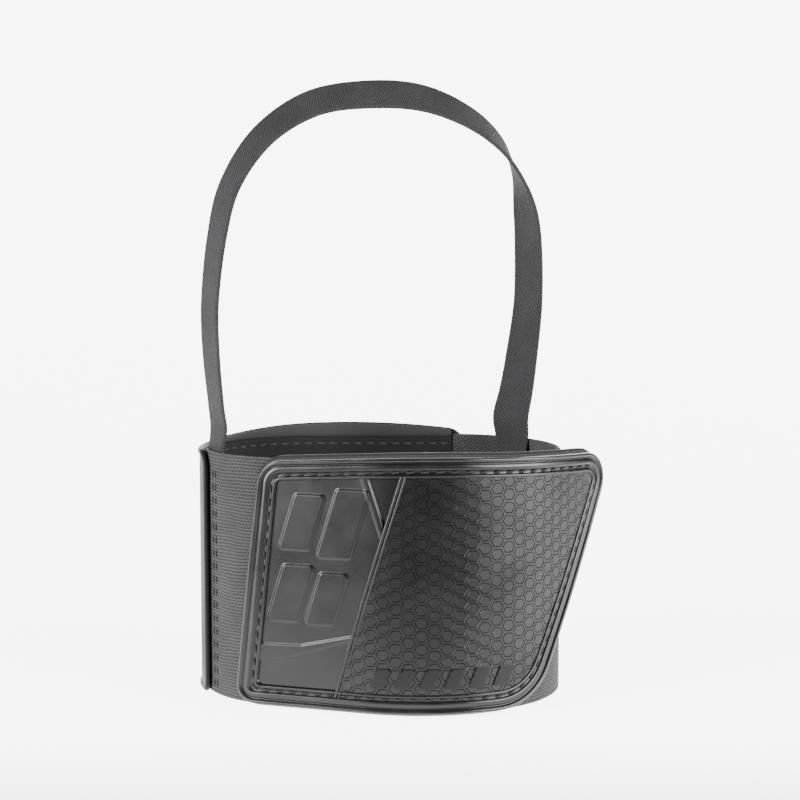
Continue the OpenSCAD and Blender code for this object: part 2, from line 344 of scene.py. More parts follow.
def along(points: np.ndarray, count: int) -> tuple[np.ndarray, np.ndarray]:
    """Evenly spaced places on a closed outline.

    Args:
        points: The outline.
        count: How many places.

    Returns:
        The places and the unit direction at each.
    """
    loop = np.vstack([points, points[:1]])
    lens = np.concatenate([[0], np.cumsum(np.linalg.norm(np.diff(loop, axis=0), axis=1))])
    s = (np.arange(count) + 0.5) * lens[-1] / count
    half = lens[-1] / count * 0.25

    def spot(q: np.ndarray) -> np.ndarray:
        """Places at lengths q round the outline."""
        q = np.mod(q, lens[-1])
        return np.stack([np.interp(q, lens, loop[:, 0]), np.interp(q, lens, loop[:, 1])], axis=1)

    ahead = spot(s + half) - spot(s - half)
    return spot(s), ahead / np.linalg.norm(ahead, axis=1)[:, None]


def signed_distance(points: np.ndarray, outline: np.ndarray) -> np.ndarray:
    """Distance of points to an outline, negative inside it.

    Args:
        points: Array of shape (n, 2).
        outline: Closed outline of shape (m, 2).

    Returns:
        Array of shape (n,).
    """
    best = np.full(len(points), np.inf)
    inside = np.zeros(len(points), bool)
    for a, b in zip(outline, np.roll(outline, -1, axis=0)):
        e, w = b - a, points - a
        t = np.clip(w @ e / (e @ e), 0, 1)
        best = np.minimum(best, np.linalg.norm(w - t[:, None] * e, axis=1))
        if abs(e[1]) > 1e-12:
            crosses = (a[1] > points[:, 1]) != (b[1] > points[:, 1])
            inside ^= crosses & (points[:, 0] < a[0] + (points[:, 1] - a[1]) / e[1] * e[0])
    return np.where(inside, -best, best)


def ramp(d: np.ndarray, width: float) -> np.ndarray:
    """Smooth step from 1 inside an outline to 0 outside it, over a width."""
    t = np.clip(0.5 - d / width, 0, 1)
    return t * t * (3 - 2 * t)


# ---------------------------------------------------------------- modelling by hand
def pick(*objects: bpy.types.Object) -> None:
    """Selects only some objects.

    Args:
        objects: The objects, of which the first becomes the active one.
    """
    if bpy.context.mode != "OBJECT":
        bpy.ops.object.mode_set(mode="OBJECT")
    bpy.ops.object.select_all(action="DESELECT")
    for obj in objects:
        obj.select_set(True)
    bpy.context.view_layer.objects.active = objects[0]


def edit(obj: bpy.types.Object) -> None:
    """Opens the object in edit mode with everything selected."""
    pick(obj)
    bpy.ops.object.mode_set(mode="EDIT")
    bpy.ops.mesh.select_all(action="SELECT")


def done() -> None:
    """Leaves edit mode."""
    bpy.ops.object.mode_set(mode="OBJECT")


def points_of(obj: bpy.types.Object) -> np.ndarray:
    """Vertex places of a mesh object as an array of shape (n, 3)."""
    co = np.empty(len(obj.data.vertices) * 3)
    obj.data.vertices.foreach_get("co", co)
    return co.reshape(-1, 3)


def move_points(obj: bpy.types.Object, places: np.ndarray) -> None:
    """Puts every vertex at its new place."""
    obj.data.vertices.foreach_set("co", np.ascontiguousarray(places, float).ravel())
    obj.data.update()


def write_uv(obj: bpy.types.Object, uv: np.ndarray) -> None:
    """Gives a piece a UV map in millimetres.

    Args:
        obj: The piece.
        uv: Array (n, 2), one pair of numbers for each vertex.
    """
    layer = obj.data.uv_layers.active or obj.data.uv_layers.new(name="cloth")
    index = np.empty(len(obj.data.loops), int)
    obj.data.loops.foreach_get("vertex_index", index)
    layer.data.foreach_set("uv", np.ascontiguousarray(uv[index], float).ravel())


def write_wear_and_highlight(obj: bpy.types.Object, wear_and_highlight: np.ndarray) -> None:
    """Stores each vertex's share of rubbed polish and painted highlight, from 0 to 1, for the piece's finish."""
    attribute = obj.data.attributes.get("wear_and_highlight") or obj.data.attributes.new("wear_and_highlight", "FLOAT", "POINT")
    attribute.data.foreach_set("value", wear_and_highlight.astype(np.float32))


def grid(name: str, nu: int, nv: int) -> bpy.types.Object:
    """A grid of nu by nv points, ready to be placed row by row.

    Args:
        name: Name of the piece.
        nu: Points in each row.
        nv: Number of rows.

    Returns:
        The new object, unshaped.
    """
    if bpy.context.mode != "OBJECT":
        done()
    bpy.ops.object.select_all(action="DESELECT")
    bpy.ops.mesh.primitive_grid_add(x_subdivisions=nu - 1, y_subdivisions=nv - 1, size=1)
    obj = bpy.context.active_object
    obj.name = obj.data.name = name
    return obj


def settle(obj: bpy.types.Object, merge: float = 0.0, sharp: float = 40.0) -> bpy.types.Object:
    """Merges doubles, turns faces outwards and smooths the piece by angle.

    Args:
        obj: The piece.
        merge: Distance under which points are joined, or 0 to leave them.
        sharp: Angle in degrees over which an edge stays sharp.

    Returns:
        The same piece.
    """
    edit(obj)
    if merge > 0:
        bpy.ops.mesh.remove_doubles(threshold=merge)
    bpy.ops.mesh.normals_make_consistent(inside=False)
    done()
    pick(obj)
    bpy.ops.object.shade_smooth_by_angle(angle=math.radians(sharp))
    return obj


def finish_with(obj: bpy.types.Object, kind: str, **values: object) -> None:
    """Adds a modifier and applies it.

    Args:
        obj: The piece.
        kind: The modifier's type name.
        values: Its settings by name.
    """
    pick(obj)
    modifier = obj.modifiers.new(kind.lower(), kind)
    for key, value in values.items():
        setattr(modifier, key, value)
    bpy.ops.object.modifier_apply(modifier=modifier.name)


def thicken(obj: bpy.types.Object, thickness: float, offset: float = 0.0) -> None:
    """Gives a skin its wall, in millimetres, centred on the skin or on one side of it."""
    finish_with(obj, "SOLIDIFY", thickness=thickness * MM, offset=offset)


def round_edges(obj: bpy.types.Object, width: float, segments: int) -> None:
    """Rounds the sharp edges of a cut sheet by a width in millimetres."""
    limit = math.radians(50)
    finish_with(obj, "BEVEL", width=width * MM, segments=segments, limit_method="ANGLE", angle_limit=limit)


def join(name: str, objects: Sequence[bpy.types.Object]) -> bpy.types.Object:
    """Joins pieces into one.

    Args:
        name: Name of the new piece.
        objects: The pieces.

    Returns:
        The new piece.
    """
    pick(*objects)
    bpy.ops.object.join()
    obj = bpy.context.active_object
    obj.name = obj.data.name = name
    return obj


def copies(
    name: str, proto: bpy.types.Object, turns: np.ndarray, places: np.ndarray
) -> bpy.types.Object:
    """Repeats a small model, each copy with its own mesh, as one piece.

    Args:
        name: Name of the piece.
        proto: The small model, which is removed afterwards.
        turns: Array (n, 3, 3) whose columns are the copy's x, y and z directions.
        places: Array (n, 3) of the copies' places.

    Returns:
        The new piece.
    """
    base = points_of(proto)
    faces = [list(p.vertices) for p in proto.data.polygons]
    n, m = len(places), len(base)
    co = np.einsum("nij,mj->nmi", turns, base) + places[:, None, :]
    mesh = bpy.data.meshes.new(name)
    repeated = [[v + k * m for v in f] for k in range(n) for f in faces]
    mesh.from_pydata(co.reshape(-1, 3).tolist(), [], repeated)
    obj = bpy.data.objects.new(name, mesh)
    bpy.context.scene.collection.objects.link(obj)
    bpy.data.objects.remove(proto, do_unlink=True)
    return obj


def cut_flat(name: str, outline: np.ndarray, cell: float) -> bpy.types.Object:
    """A flat sheet cut to a convex outline, with its length along x and its height along z.

    Args:
        name: Name of the sheet.
        outline: Counter-clockwise outline in millimetres.
        cell: Size of the sheet's grid cells.

    Returns:
        The flat sheet, in millimetres.
    """
    lo, hi = outline.min(axis=0) - cell, outline.max(axis=0) + cell
    nu, nv = (int((hi[k] - lo[k]) / cell) + 1 for k in (0, 1))
    obj = grid(name, nu, nv)
    u, v = np.meshgrid(np.linspace(lo[0], hi[0], nu), np.linspace(lo[1], hi[1], nv))
    move_points(obj, np.stack([u.ravel(), np.zeros(nu * nv), v.ravel()], axis=1))
    trim(obj, outline)
    return obj


def trim(obj: bpy.types.Object, outline: np.ndarray, closed: bool = True) -> None:
    """Cuts a flat model along every edge of a convex outline and keeps the inside.

    Args:
        obj: The flat model.
        outline: Counter-clockwise outline, in the plane of x and z.
        closed: Whether the outline's last point runs back to its first.
    """
    edit(obj)
    ends = zip(outline, np.roll(outline, -1, axis=0)) if closed else zip(outline[:-1], outline[1:])
    for a, b in ends:
        if np.linalg.norm(b - a) < SHORT_EDGE:
            continue
        e = unit(b - a)
        bpy.ops.mesh.select_all(action="SELECT")
        bpy.ops.mesh.bisect(
            plane_co=(a[0], 0, a[1]),
            plane_no=(e[1], 0, -e[0]),
            clear_outer=True,
            clear_inner=False,
            threshold=1e-5,
        )
    bpy.ops.mesh.select_all(action="SELECT")
    bpy.ops.mesh.remove_doubles(threshold=CUT_WELD)
    done()


def wrap(obj: bpy.types.Object, path: PlanPath, t: float) -> None:
    """Bends a flat model round the cuff and gives it a UV map of its flat places.

    Args:
        obj: Flat model in millimetres: x along the path, -y outwards, z up.
        path: The path in plan.
        t: Distance outside the path of the model's y = 0.
    """
    flat = points_of(obj)
    write_uv(obj, flat[:, [0, 2]])
    x, y, _ = path.at(flat[:, 0], t - flat[:, 1])
    move_points(obj, LAYOUT.place(np.stack([x, y, flat[:, 2]], axis=1)))


def sweep(
    name: str,
    rows: np.ndarray,
    uv: np.ndarray,
    closed_rows: bool = True,
    closed_ends: bool = False,
) -> bpy.types.Object:
    """Lofts a skin through rows of points and closes it.

    Args:
        name: Name of the piece.
        rows: Array (rows, points, 3) in metres, without a repeated first point.
        uv: Array (rows, points, 2) in millimetres.
        closed_rows: Whether each row runs back to its first point.
        closed_ends: Whether the last row runs on into the first.

    Returns:
        The closed piece.
    """
    if closed_rows:
        rows = np.concatenate([rows, rows[:, :1]], axis=1)
        step = uv[:, -1:] - uv[:, -2:-1]
        uv = np.concatenate([uv, uv[:, -1:] + step], axis=1)
    if closed_ends:
        rows = np.concatenate([rows, rows[:1]])
        uv = np.concatenate([uv, uv[-1:] + (uv[-1:] - uv[-2:-1])])
    obj = grid(name, rows.shape[1], rows.shape[0])
    move_points(obj, rows.reshape(-1, 3))
    write_uv(obj, uv.reshape(-1, 2))
    edit(obj)
    bpy.ops.mesh.remove_doubles(threshold=2e-6)
    if not closed_ends:
        bpy.ops.mesh.select_all(action="DESELECT")
        bpy.ops.mesh.select_mode(type="EDGE")
        bpy.ops.mesh.select_non_manifold(
            extend=False,
            use_wire=False,
            use_boundary=True,
            use_multi_face=False,
            use_non_contiguous=False,
            use_verts=False,
        )
        bpy.ops.mesh.fill_holes(sides=0)
        bpy.ops.mesh.select_mode(type="VERT")
    bpy.ops.mesh.select_all(action="SELECT")
    bpy.ops.mesh.normals_make_consistent(inside=False)
    done()
    return obj


# ---------------------------------------------------------------- finishes
Socket = bpy.types.NodeSocket


class Nodes:
    """Short hand for building a material's node tree."""

    def __init__(self, name: str) -> None:
        """Starts a material with one Principled shader."""
        self.material = bpy.data.materials.new(name)
        self.material.use_nodes = True
        self.tree = self.material.node_tree
        self.shader = next(n for n in self.tree.nodes if n.type == "BSDF_PRINCIPLED")

    def add(self, kind: str, **inputs: object) -> bpy.types.Node:
        """Adds a node; values that are sockets are linked, others are set.

        Args:
            kind: The node's type name.
            inputs: Input values by socket name, or by index as i0, i1 and so on.

        Returns:
            The node.
        """
        node = self.tree.nodes.new(kind)
        self.feed(node, **inputs)
        return node

    def feed(self, node: bpy.types.Node, **inputs: object) -> None:
        """Sets or links a node's inputs.

        Args:
            node: The node.
            inputs: Input values, named as in add.
        """
        for key, value in inputs.items():
            plain = key[1:].isdigit() and key[0] == "i"
            socket = node.inputs[int(key[1:])] if plain else node.inputs[key.replace("_", " ")]
            if isinstance(value, bpy.types.NodeSocket):
                self.tree.links.new(value, socket)
            else:
                socket.default_value = value

    def math(self, operation: str, a: object, b: object = 0.0) -> Socket:
        """Works out one sum in a Math node.

        Args:
            operation: The node's operation.
            a: First value or socket.
            b: Second value or socket, for operations that take two.

        Returns:
            The result's socket.
        """
        node = self.tree.nodes.new("ShaderNodeMath")
        node.operation = operation
        self.feed(node, i0=a, i1=b)
        return node.outputs[0]

    def zero_to_one(self, wave: object) -> Socket:
        """A wave that runs from -1 to 1, made to run from 0 to 1."""
        return self.math("ADD", self.math("MULTIPLY", wave, 0.5), 0.5)

    def weigh(self, a: object, a_share: float, b: object, b_share: float) -> Socket:
        """Sum of two values, each times its share."""
        return self.math("ADD", self.math("MULTIPLY", a, a_share), self.math("MULTIPLY", b, b_share))

    def place(self) -> Socket:
        """Object coordinates."""
        coordinates = self.add("ShaderNodeTexCoord")
        return self.add("ShaderNodeMapping", Vector=coordinates.outputs["Object"]).outputs[0]

    def noise(self, scale: float, detail: float = 3.0, vector: object = None) -> Socket:
        """Noise value at a scale for each metre, or for each unit of a given vector."""
        source = vector if vector is not None else self.place()
        return self.add("ShaderNodeTexNoise", Vector=source, Scale=scale, Detail=detail).outputs[0]

    def cloth_uv(self) -> tuple[Socket, Socket, Socket]:
        """Reads the piece's own UV map, in millimetres.

        Returns:
            The vector, and the length and the height in it.
        """
        uv = self.add("ShaderNodeUVMap").outputs[0]
        parts = self.add("ShaderNodeSeparateXYZ", i0=uv)
        return uv, parts.outputs[0], parts.outputs[1]

    def ramp(
        self, value: object, low: float, high: float, start: float = 0.0, end: float = 1.0
    ) -> Socket:
        """Maps a value from one range to another.

        Args:
            value: The value or socket.
            low: Result at the start of its range.
            high: Result at the end of its range.
            start: Start of its range.
            end: End of its range.

        Returns:
            The result's socket.
        """
        node = self.tree.nodes.new("ShaderNodeMapRange")
        self.feed(node, i0=value, i1=start, i2=end, i3=low, i4=high)
        return node.outputs[0]

    def mix(self, share: object, a: Colour, b: Colour) -> Socket:
        """Mixes two colours.

        Args:
            share: Share of the second colour.
            a: First colour.
            b: Second colour.

        Returns:
            The result's socket.
        """
        node = self.tree.nodes.new("ShaderNodeMix")
        node.data_type = "RGBA"
        self.feed(node, i0=share, i6=(*a, 1.0), i7=(*b, 1.0))
        return node.outputs[2]

    def bump(self, height: object, strength: float, distance: float, after: object = None) -> Socket:
        """Turns heights into a normal.

        Args:
            height: Socket of the heights.
            strength: Strength of the bump.
            distance: Height in metres that 1 stands for.
            after: Socket of a normal that this one goes on top of, if any.

        Returns:
            The normal's socket.
        """
        node = self.add("ShaderNodeBump", Height=height, Strength=strength, Distance=distance)
        if after is not None:
            self.feed(node, Normal=after)
        return node.outputs[0]

    def finish(self, **inputs: object) -> bpy.types.Material:
        """Feeds the shader and returns the material."""
        self.feed(self.shader, **inputs)
        return self.material


@dataclass(frozen=True)
class MouldedRubber:
    """Satin rubber from a mould: fine grain, faint flow marks, and crests that are polished (lower roughness) and
    lighter in colour, a painted highlight.
    """

    name: str
    dark: Colour
    worn_and_lit: Colour
    roughness: float = 0.4
    specular: float = 0.5
    grain: float = 0.10

    def build(self) -> bpy.types.Material:
        """Builds the finish.

        Returns:
            The material.
        """
        n = Nodes(self.name)
        wear_and_highlight = n.add("ShaderNodeAttribute")
        wear_and_highlight.attribute_name = "wear_and_highlight"
        cloud = n.noise(90.0, 4.0)
        fine = n.noise(3800.0, 2.0)
        coarse = n.noise(1100.0, 2.0)
        # Painted highlight: the marked crests take the lighter colour; the random clouds added next are the
        # rubber's own tone.
        share = n.math("MULTIPLY", wear_and_highlight.outputs["Fac"], n.ramp(cloud, 0.35, 1.0, 0.3, 0.7))
        share = n.math("ADD", share, n.ramp(cloud, 0.0, 0.16, 0.4, 0.75))
        clouded = n.ramp(cloud, self.roughness - 0.05, self.roughness + 0.06, 0.3, 0.7)
        rough = n.math("ADD", clouded, n.ramp(fine, -0.03, 0.03))
        rough = n.math("SUBTRACT", rough, n.math("MULTIPLY", wear_and_highlight.outputs["Fac"], 0.05))
        normal = n.bump(coarse, self.grain * 0.5, 0.00012)
        normal = n.bump(fine, self.grain, 0.00005, normal)
        return n.finish(
            Base_Color=n.mix(share, self.dark, self.worn_and_lit),
            Roughness=rough,
            Normal=normal,
            Specular_IOR_Level=self.specular,
        )


@dataclass(frozen=True)
class RibbedWeb:
    """Woven elastic: ribs across the height, short floats along each rib, and stray fibres."""

    name: str
    # Painted shade: colour of the hollows of the relief.
    hollow_shade: Colour
    yarn: Colour
    rib: float = 1.0
    float_length: float = 1.3
    lean: float = 0.0
    roughness: float = 0.78
    sheen: float = 0.25

    def build(self) -> bpy.types.Material:
        """Builds the finish.

        Returns:
            The material.
        """
        n = Nodes(self.name)
        uv, u, v = n.cloth_uv()
        wobble = n.noise(0.35, 2.0, uv)
        row = n.math("ADD", n.math("DIVIDE", v, self.rib), n.math("MULTIPLY", wobble, 0.5))
        row = n.math("ADD", row, n.math("MULTIPLY", u, self.lean))
        rib = n.zero_to_one(n.math("COSINE", n.math("MULTIPLY", row, 2 * math.pi)))
        half = n.math("MULTIPLY", n.math("FLOOR", row), 0.5)
        cell = n.math("ADD", n.math("DIVIDE", u, self.float_length), half)
        floats = n.math("ABSOLUTE", n.math("SINE", n.math("MULTIPLY", cell, math.pi)))
        floats = n.math("POWER", floats, 0.6)
        fibre = n.noise(9.0, 3.0, uv)
        height = n.math("ADD", n.weigh(rib, 0.6, floats, 0.45), n.math("MULTIPLY", fibre, 0.35))
        tone = n.ramp(n.noise(0.09, 3.0, uv), 0.75, 1.1, 0.3, 0.7)
        # Painted shade: the low parts of the rib relief take the darker colour, the raised yarn the lighter one.
        share = n.math("MULTIPLY", n.ramp(height, 0.0, 1.0, 0.35, 1.25), tone)
        return n.finish(
            Base_Color=n.mix(share, self.hollow_shade, self.yarn),
            Roughness=n.ramp(fibre, self.roughness - 0.08, self.roughness + 0.1),
            Normal=n.bump(height, 0.8, 0.00026),
            Sheen_Weight=self.sheen,
            Sheen_Roughness=0.45,
            Specular_IOR_Level=0.1,
        )


@dataclass(frozen=True)
class PlainCloth:
    """Plain-woven or knitted cloth seen at the edges and inside."""

    name: str
    # Painted shade: colour of the hollows of the weave.
    hollow_shade: Colour
    yarn: Colour
    pitch: float = 0.45
    roughness: float = 0.88
    sheen: float = 0.15

    def build(self) -> bpy.types.Material:
        """Builds the finish.

        Returns:
            The material.
        """
        n = Nodes(self.name)
        uv, u, v = n.cloth_uv()
        across = n.math("SINE", n.math("MULTIPLY", u, math.pi / self.pitch))
        upward = n.math("SINE", n.math("MULTIPLY", v, math.pi / self.pitch))
        weave = n.zero_to_one(n.math("MULTIPLY", across, upward))
        fibre = n.noise(7.0, 3.0, uv)
        height = n.weigh(weave, 0.7, fibre, 0.4)
        # Painted shade: the low parts of the weave take the darker colour.
        return n.finish(
            Base_Color=n.mix(n.ramp(height, 0.0, 1.0, 0.2, 1.0), self.hollow_shade, self.yarn),
            Roughness=n.ramp(fibre, self.roughness - 0.08, self.roughness + 0.08),
            Normal=n.bump(height, 0.6, 0.00015),
            Sheen_Weight=self.sheen,
            Sheen_Roughness=0.5,
            Specular_IOR_Level=0.06,
        )


@dataclass(frozen=True)
class TwistedThread:
    """Sewing thread with a visible twist."""

    name: str
    dark: Colour
    light: Colour

    def build(self) -> bpy.types.Material:
        """Builds the finish.

        Returns:
            The material.
        """
        n = Nodes(self.name)
        _, u, v = n.cloth_uv()
        height = n.zero_to_one(n.math("SINE", n.weigh(u, 9.5, v, 3.0)))
        fuzz = n.noise(2600.0, 2.0)
        # Painted shade: the grooves of the twist take the dark colour.
        return n.finish(
            Base_Color=n.mix(n.math("MULTIPLY", height, fuzz), self.dark, self.light),
            Roughness=n.ramp(fuzz, 0.55, 0.75),
            Normal=n.bump(height, 0.7, 0.00012),
            Specular_IOR_Level=0.12,
        )


@dataclass(frozen=True)
class CutFoam:
    """Closed-cell foam with open cells on its cut edge."""

    name: str
    dark: Colour
    light: Colour

    def build(self) -> bpy.types.Material:
        """Builds the finish.

        Returns:
            The material.
        """
        n = Nodes(self.name)
        cells = n.add("ShaderNodeTexVoronoi", Vector=n.place(), Scale=2600.0).outputs["Distance"]
        cloud = n.noise(300.0, 3.0)
        # Painted shade: the pits of the cells take the dark colour, scaled by random clouds.
        return n.finish(
            Base_Color=n.mix(n.math("MULTIPLY", cells, cloud), self.dark, self.light),
            Roughness=n.ramp(cloud, 0.82, 0.95),
            Normal=n.bump(cells, 0.6, 0.00015),
            Specular_IOR_Level=0.25,
        )


@dataclass(frozen=True)
class GlossFilm:
    """Smooth film of printed gloss, with faint orange peel."""

    name: str
    colour: Colour
    edge: Colour

    def build(self) -> bpy.types.Material:
        """Builds the finish.

        Returns:
            The material.
        """
        n = Nodes(self.name)
        peel = n.noise(900.0, 2.0)
        cloud = n.noise(120.0, 3.0)
        return n.finish(
            Base_Color=n.mix(n.ramp(cloud, 0.0, 0.6, 0.4, 0.7), self.colour, self.edge),
            Roughness=n.ramp(cloud, 0.2, 0.3),
            Normal=n.bump(peel, 0.08, 0.00005),
            Specular_IOR_Level=0.12,
            Coat_Weight=0.03,
            Coat_Roughness=0.15,
        )


@dataclass(frozen=True)
class StudioPaper:
    """Pale sheet with a painted glow: it emits light though it is no lamp, strongest round the object, and the glow
    grades away.
    """

    name: str
    tone: Colour
    shade: Colour
    # Strength of the painted glow.
    glow: float = 6.0
    near: tuple[float, float] = (-0.2, -0.06)
    sides: tuple[float, float] = (0.8, 0.32)
    top: tuple[float, float] = (0.85, 0.36)

    def build(self) -> bpy.types.Material:
        """Builds the finish.

        Returns:
            The material.
        """
        n = Nodes(self.name)
        fibre = n.noise(400.0, 4.0)
        spot = n.add("ShaderNodeSeparateXYZ", i0=n.place()).outputs
        # Painted glow: the emission fades towards the front, out to the sides and upwards.
        glow = n.math("MULTIPLY", n.ramp(spot[1], 0.0, 1.0, *self.near), self.glow)
        glow = n.math("MULTIPLY", glow, n.ramp(n.math("ABSOLUTE", spot[0]), 0.0, 1.0, *self.sides))
        glow = n.math("MULTIPLY", glow, n.ramp(spot[2], 0.0, 1.0, *self.top))
        return n.finish(
            Base_Color=n.mix(fibre, self.tone, self.shade),
            Roughness=n.ramp(fibre, 0.8, 0.95),
            Normal=n.bump(fibre, 0.05, 0.0002),
            Specular_IOR_Level=0.1,
            Emission_Color=(1.0, 1.0, 1.0, 1.0),
            Emission_Strength=glow,
        )


class Finishes:
    """All finishes of the cuff, built once."""

    def __init__(self) -> None:
        """Builds the materials."""
        # The second colour of each rubber is the lighter one of its painted crest highlight and its clouds.
        self.shell = MouldedRubber(
            "shell_rubber", (0.0015, 0.0015, 0.0016), (0.006, 0.006, 0.0062), 0.3, 0.2
        ).build()
        self.rear = MouldedRubber(
            "rear_rubber", (0.003, 0.003, 0.0031), (0.008, 0.008, 0.0083), 0.5, 0.08
        ).build()
        # The first colour of each woven finish is the shade painted into its hollows.
        self.web = RibbedWeb(
            "elastic_web", (0.003, 0.003, 0.0032), (0.03, 0.0303, 0.0312), sheen=0.0
        ).build()
        self.strap = RibbedWeb(
            "strap_web",
            (0.002, 0.002, 0.0021),
            (0.021, 0.0212, 0.0219),
            rib=0.8,
            float_length=1.0,
            lean=0.75,
            sheen=0.0,
        ).build()
        self.backing = PlainCloth(
            "backing_fabric", (0.004, 0.004, 0.0042), (0.016, 0.016, 0.0165), 0.4, sheen=0.05
        ).build()
        self.lining = PlainCloth(
            "lining_fabric", (0.004, 0.004, 0.0042), (0.01, 0.01, 0.0103), 0.6, sheen=0.0
        ).build()
        self.binding = PlainCloth(
            "binding_tape", (0.006, 0.006, 0.0062), (0.022, 0.022, 0.023), 0.35, 0.7, 0.06
        ).build()
        # The darker colour of each thread is the shade painted into its twist.
        self.thread = TwistedThread(
            "dark_thread", (0.002, 0.002, 0.0021), (0.014, 0.014, 0.0145)
        ).build()
        self.grey_thread = TwistedThread(
            "grey_thread", (0.005, 0.005, 0.0052), (0.034, 0.034, 0.035)
        ).build()
        # The foam's dark colour is the shade painted into its cell pits.
        self.foam = CutFoam("padding_foam", (0.005, 0.005, 0.0052), (0.016, 0.016, 0.0165)).build()
        self.gloss = GlossFilm(
            "accent_gloss", (0.0015, 0.0015, 0.0015), (0.003, 0.003, 0.003)
        ).build()
        self.paper = StudioPaper("paper_painted_glow", (0.3, 0.3, 0.3), (0.28, 0.28, 0.28)).build()


def dress(
    obj: bpy.types.Object, material: bpy.types.Material, slot: str, body: str | None, *nodes: str
) -> None:
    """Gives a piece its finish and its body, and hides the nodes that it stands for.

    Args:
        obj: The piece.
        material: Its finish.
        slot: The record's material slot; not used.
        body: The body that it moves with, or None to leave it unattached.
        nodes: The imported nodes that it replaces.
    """
    obj.data.materials.clear()
    obj.data.materials.append(material)
    if body:
        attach(obj, body)
    if nodes:
        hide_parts(*nodes)
    log.info("%s: %d faces", obj.name, len(obj.data.polygons))


# ---------------------------------------------------------------- stitches
@dataclass(frozen=True)
class Stitch:
    """One stitch of a lockstitched seam, modelled once and repeated."""

    length: float = 2.9
    width: float = 0.75
    height: float = 0.55
    end_girth: float = 0.45
    arch: float = 0.62
    sink: float = 0.42

    def model(self) -> bpy.types.Object:
        """Models a rounded thread that dips at both ends.

        Returns:
            The stitch, along x, with z away from the cloth.
        """
        bpy.ops.object.select_all(action="DESELECT")
        bpy.ops.mesh.primitive_cylinder_add(vertices=8, radius=0.5, depth=1, end_fill_type="TRIFAN")
        obj = bpy.context.active_object
        edit(obj)
        bpy.ops.mesh.select_all(action="DESELECT")
        done()
        for edge in obj.data.edges:
            a, b = (obj.data.vertices[v].co for v in edge.vertices)
            edge.select = abs(a.z - b.z) > 0.5
        pick(obj)
        bpy.ops.object.mode_set(mode="EDIT")
        bpy.ops.mesh.select_mode(type="EDGE")
        bpy.ops.mesh.subdivide(number_cuts=4)
        bpy.ops.mesh.select_mode(type="VERT")
        done()
        p = points_of(obj)
        u = p[:, 2] * 2
        fall = np.clip(1 - u**2, 0, 1)
        girth = self.end_girth + (1 - self.end_girth) * np.sqrt(fall)
        x = p[:, 2] * self.length
        y = p[:, 0] * self.width * girth
        z = p[:, 1] * self.height * girth + self.height * (self.arch * fall - self.sink)
        move_points(obj, np.stack([x, y, z], axis=1))
        return obj

    def row(self, name: str, places: np.ndarray, ahead: np.ndarray, out: np.ndarray) -> bpy.types.Object:
        """Repeats the stitch at places in the lay-out.

        Args:
            name: Name of the seam.
            places: Array (n, 3) on the cloth's face, in millimetres.
            ahead: Array (n, 3), direction of each stitch.
            out: Array (n, 3), away from the cloth.

        Returns:
            The seam as one piece, in metres.
        """
        side = np.cross(out, ahead)
        turns = np.stack([ahead, side, out], axis=2)
        proto = self.model()
        base = points_of(proto)
        obj = copies(name, proto, turns, places)
        write_uv(obj, np.tile(base[:, :2], (len(places), 1)))
        move_points(obj, LAYOUT.place(points_of(obj)))
        return settle(obj, 0.0, 80.0)


def upright_row(
    path: PlanPath, s: float, t: float, z0: float, z1: float, pitch: float, side: float
) -> Triple:
    """Places of an upright row of stitches.

    Args:
        path: The path in plan.
        s: Length along it.
        t: Distance of the cloth's face outside the path.
        z0: Lowest stitch.
        z1: Highest stitch.
        pitch: Distance between stitches.
        side: 1 for the outer face and -1 for the inner one.

    Returns:
        Places, directions and outward normals.
    """
    z = np.arange(z0, z1, pitch)
    x, y, a = path.at(np.full(len(z), s), t)
    places = np.stack([x, y, z], axis=1)
    ahead = np.tile([0.0, 0.0, 1.0], (len(z), 1))
    out = side * np.stack([np.sin(a), -np.cos(a), np.zeros(len(z))], axis=1)
    return places, ahead, out


def level_row(path: PlanPath, s: np.ndarray, t: float, z: np.ndarray, side: float) -> Triple:
    """Places of a row of stitches that runs along the path.

    Args:
        path: The path in plan.
        s: Length along it of each stitch.
        t: Distance of the cloth's face outside the path.
        z: Height of each stitch.
        side: 1 for the outer face and -1 for the inner one.

    Returns:
        Places, directions and outward normals.
    """
    x, y, a = path.at(s, t)
    ahead = np.stack([np.cos(a), np.sin(a), np.gradient(z, s)], axis=1)
    ahead /= np.linalg.norm(ahead, axis=1)[:, None]
    out = side * np.stack([np.sin(a), -np.cos(a), np.zeros(len(s))], axis=1)
    return np.stack([x, y, z], axis=1), ahead, out


def gather_rows(rows: Iterable[Triple]) -> Triple:
    """Several rows of stitches as one."""
    parts = list(rows)
    return tuple(np.concatenate([p[k] for p in parts]) for k in range(3))


def sew(name: str, stitch: Stitch, rows: Triple, thread: bpy.types.Material, node: str) -> None:
    """Makes one seam of the cuff.

    Args:
        name: Name of the seam.
        stitch: The stitch that it repeats.
        rows: Places, directions and outward normals of its stitches.
        thread: The thread's finish.
        node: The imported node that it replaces.
    """
    dress(stitch.row(name, *rows), thread, "thread", "cuff", node)


# ---------------------------------------------------------------- shield
class Relief(Enum):
    """Levels of the shell's face, above (+) and below (-) its plain face, in millimetres."""

    BEAD = 0.85
    RIDGE = 0.5
    INNER_BEAD = 0.45
    PAD = 0.05
    FLOOR = -0.45
    WEDGE = -0.95
    CHANNEL = -0.15


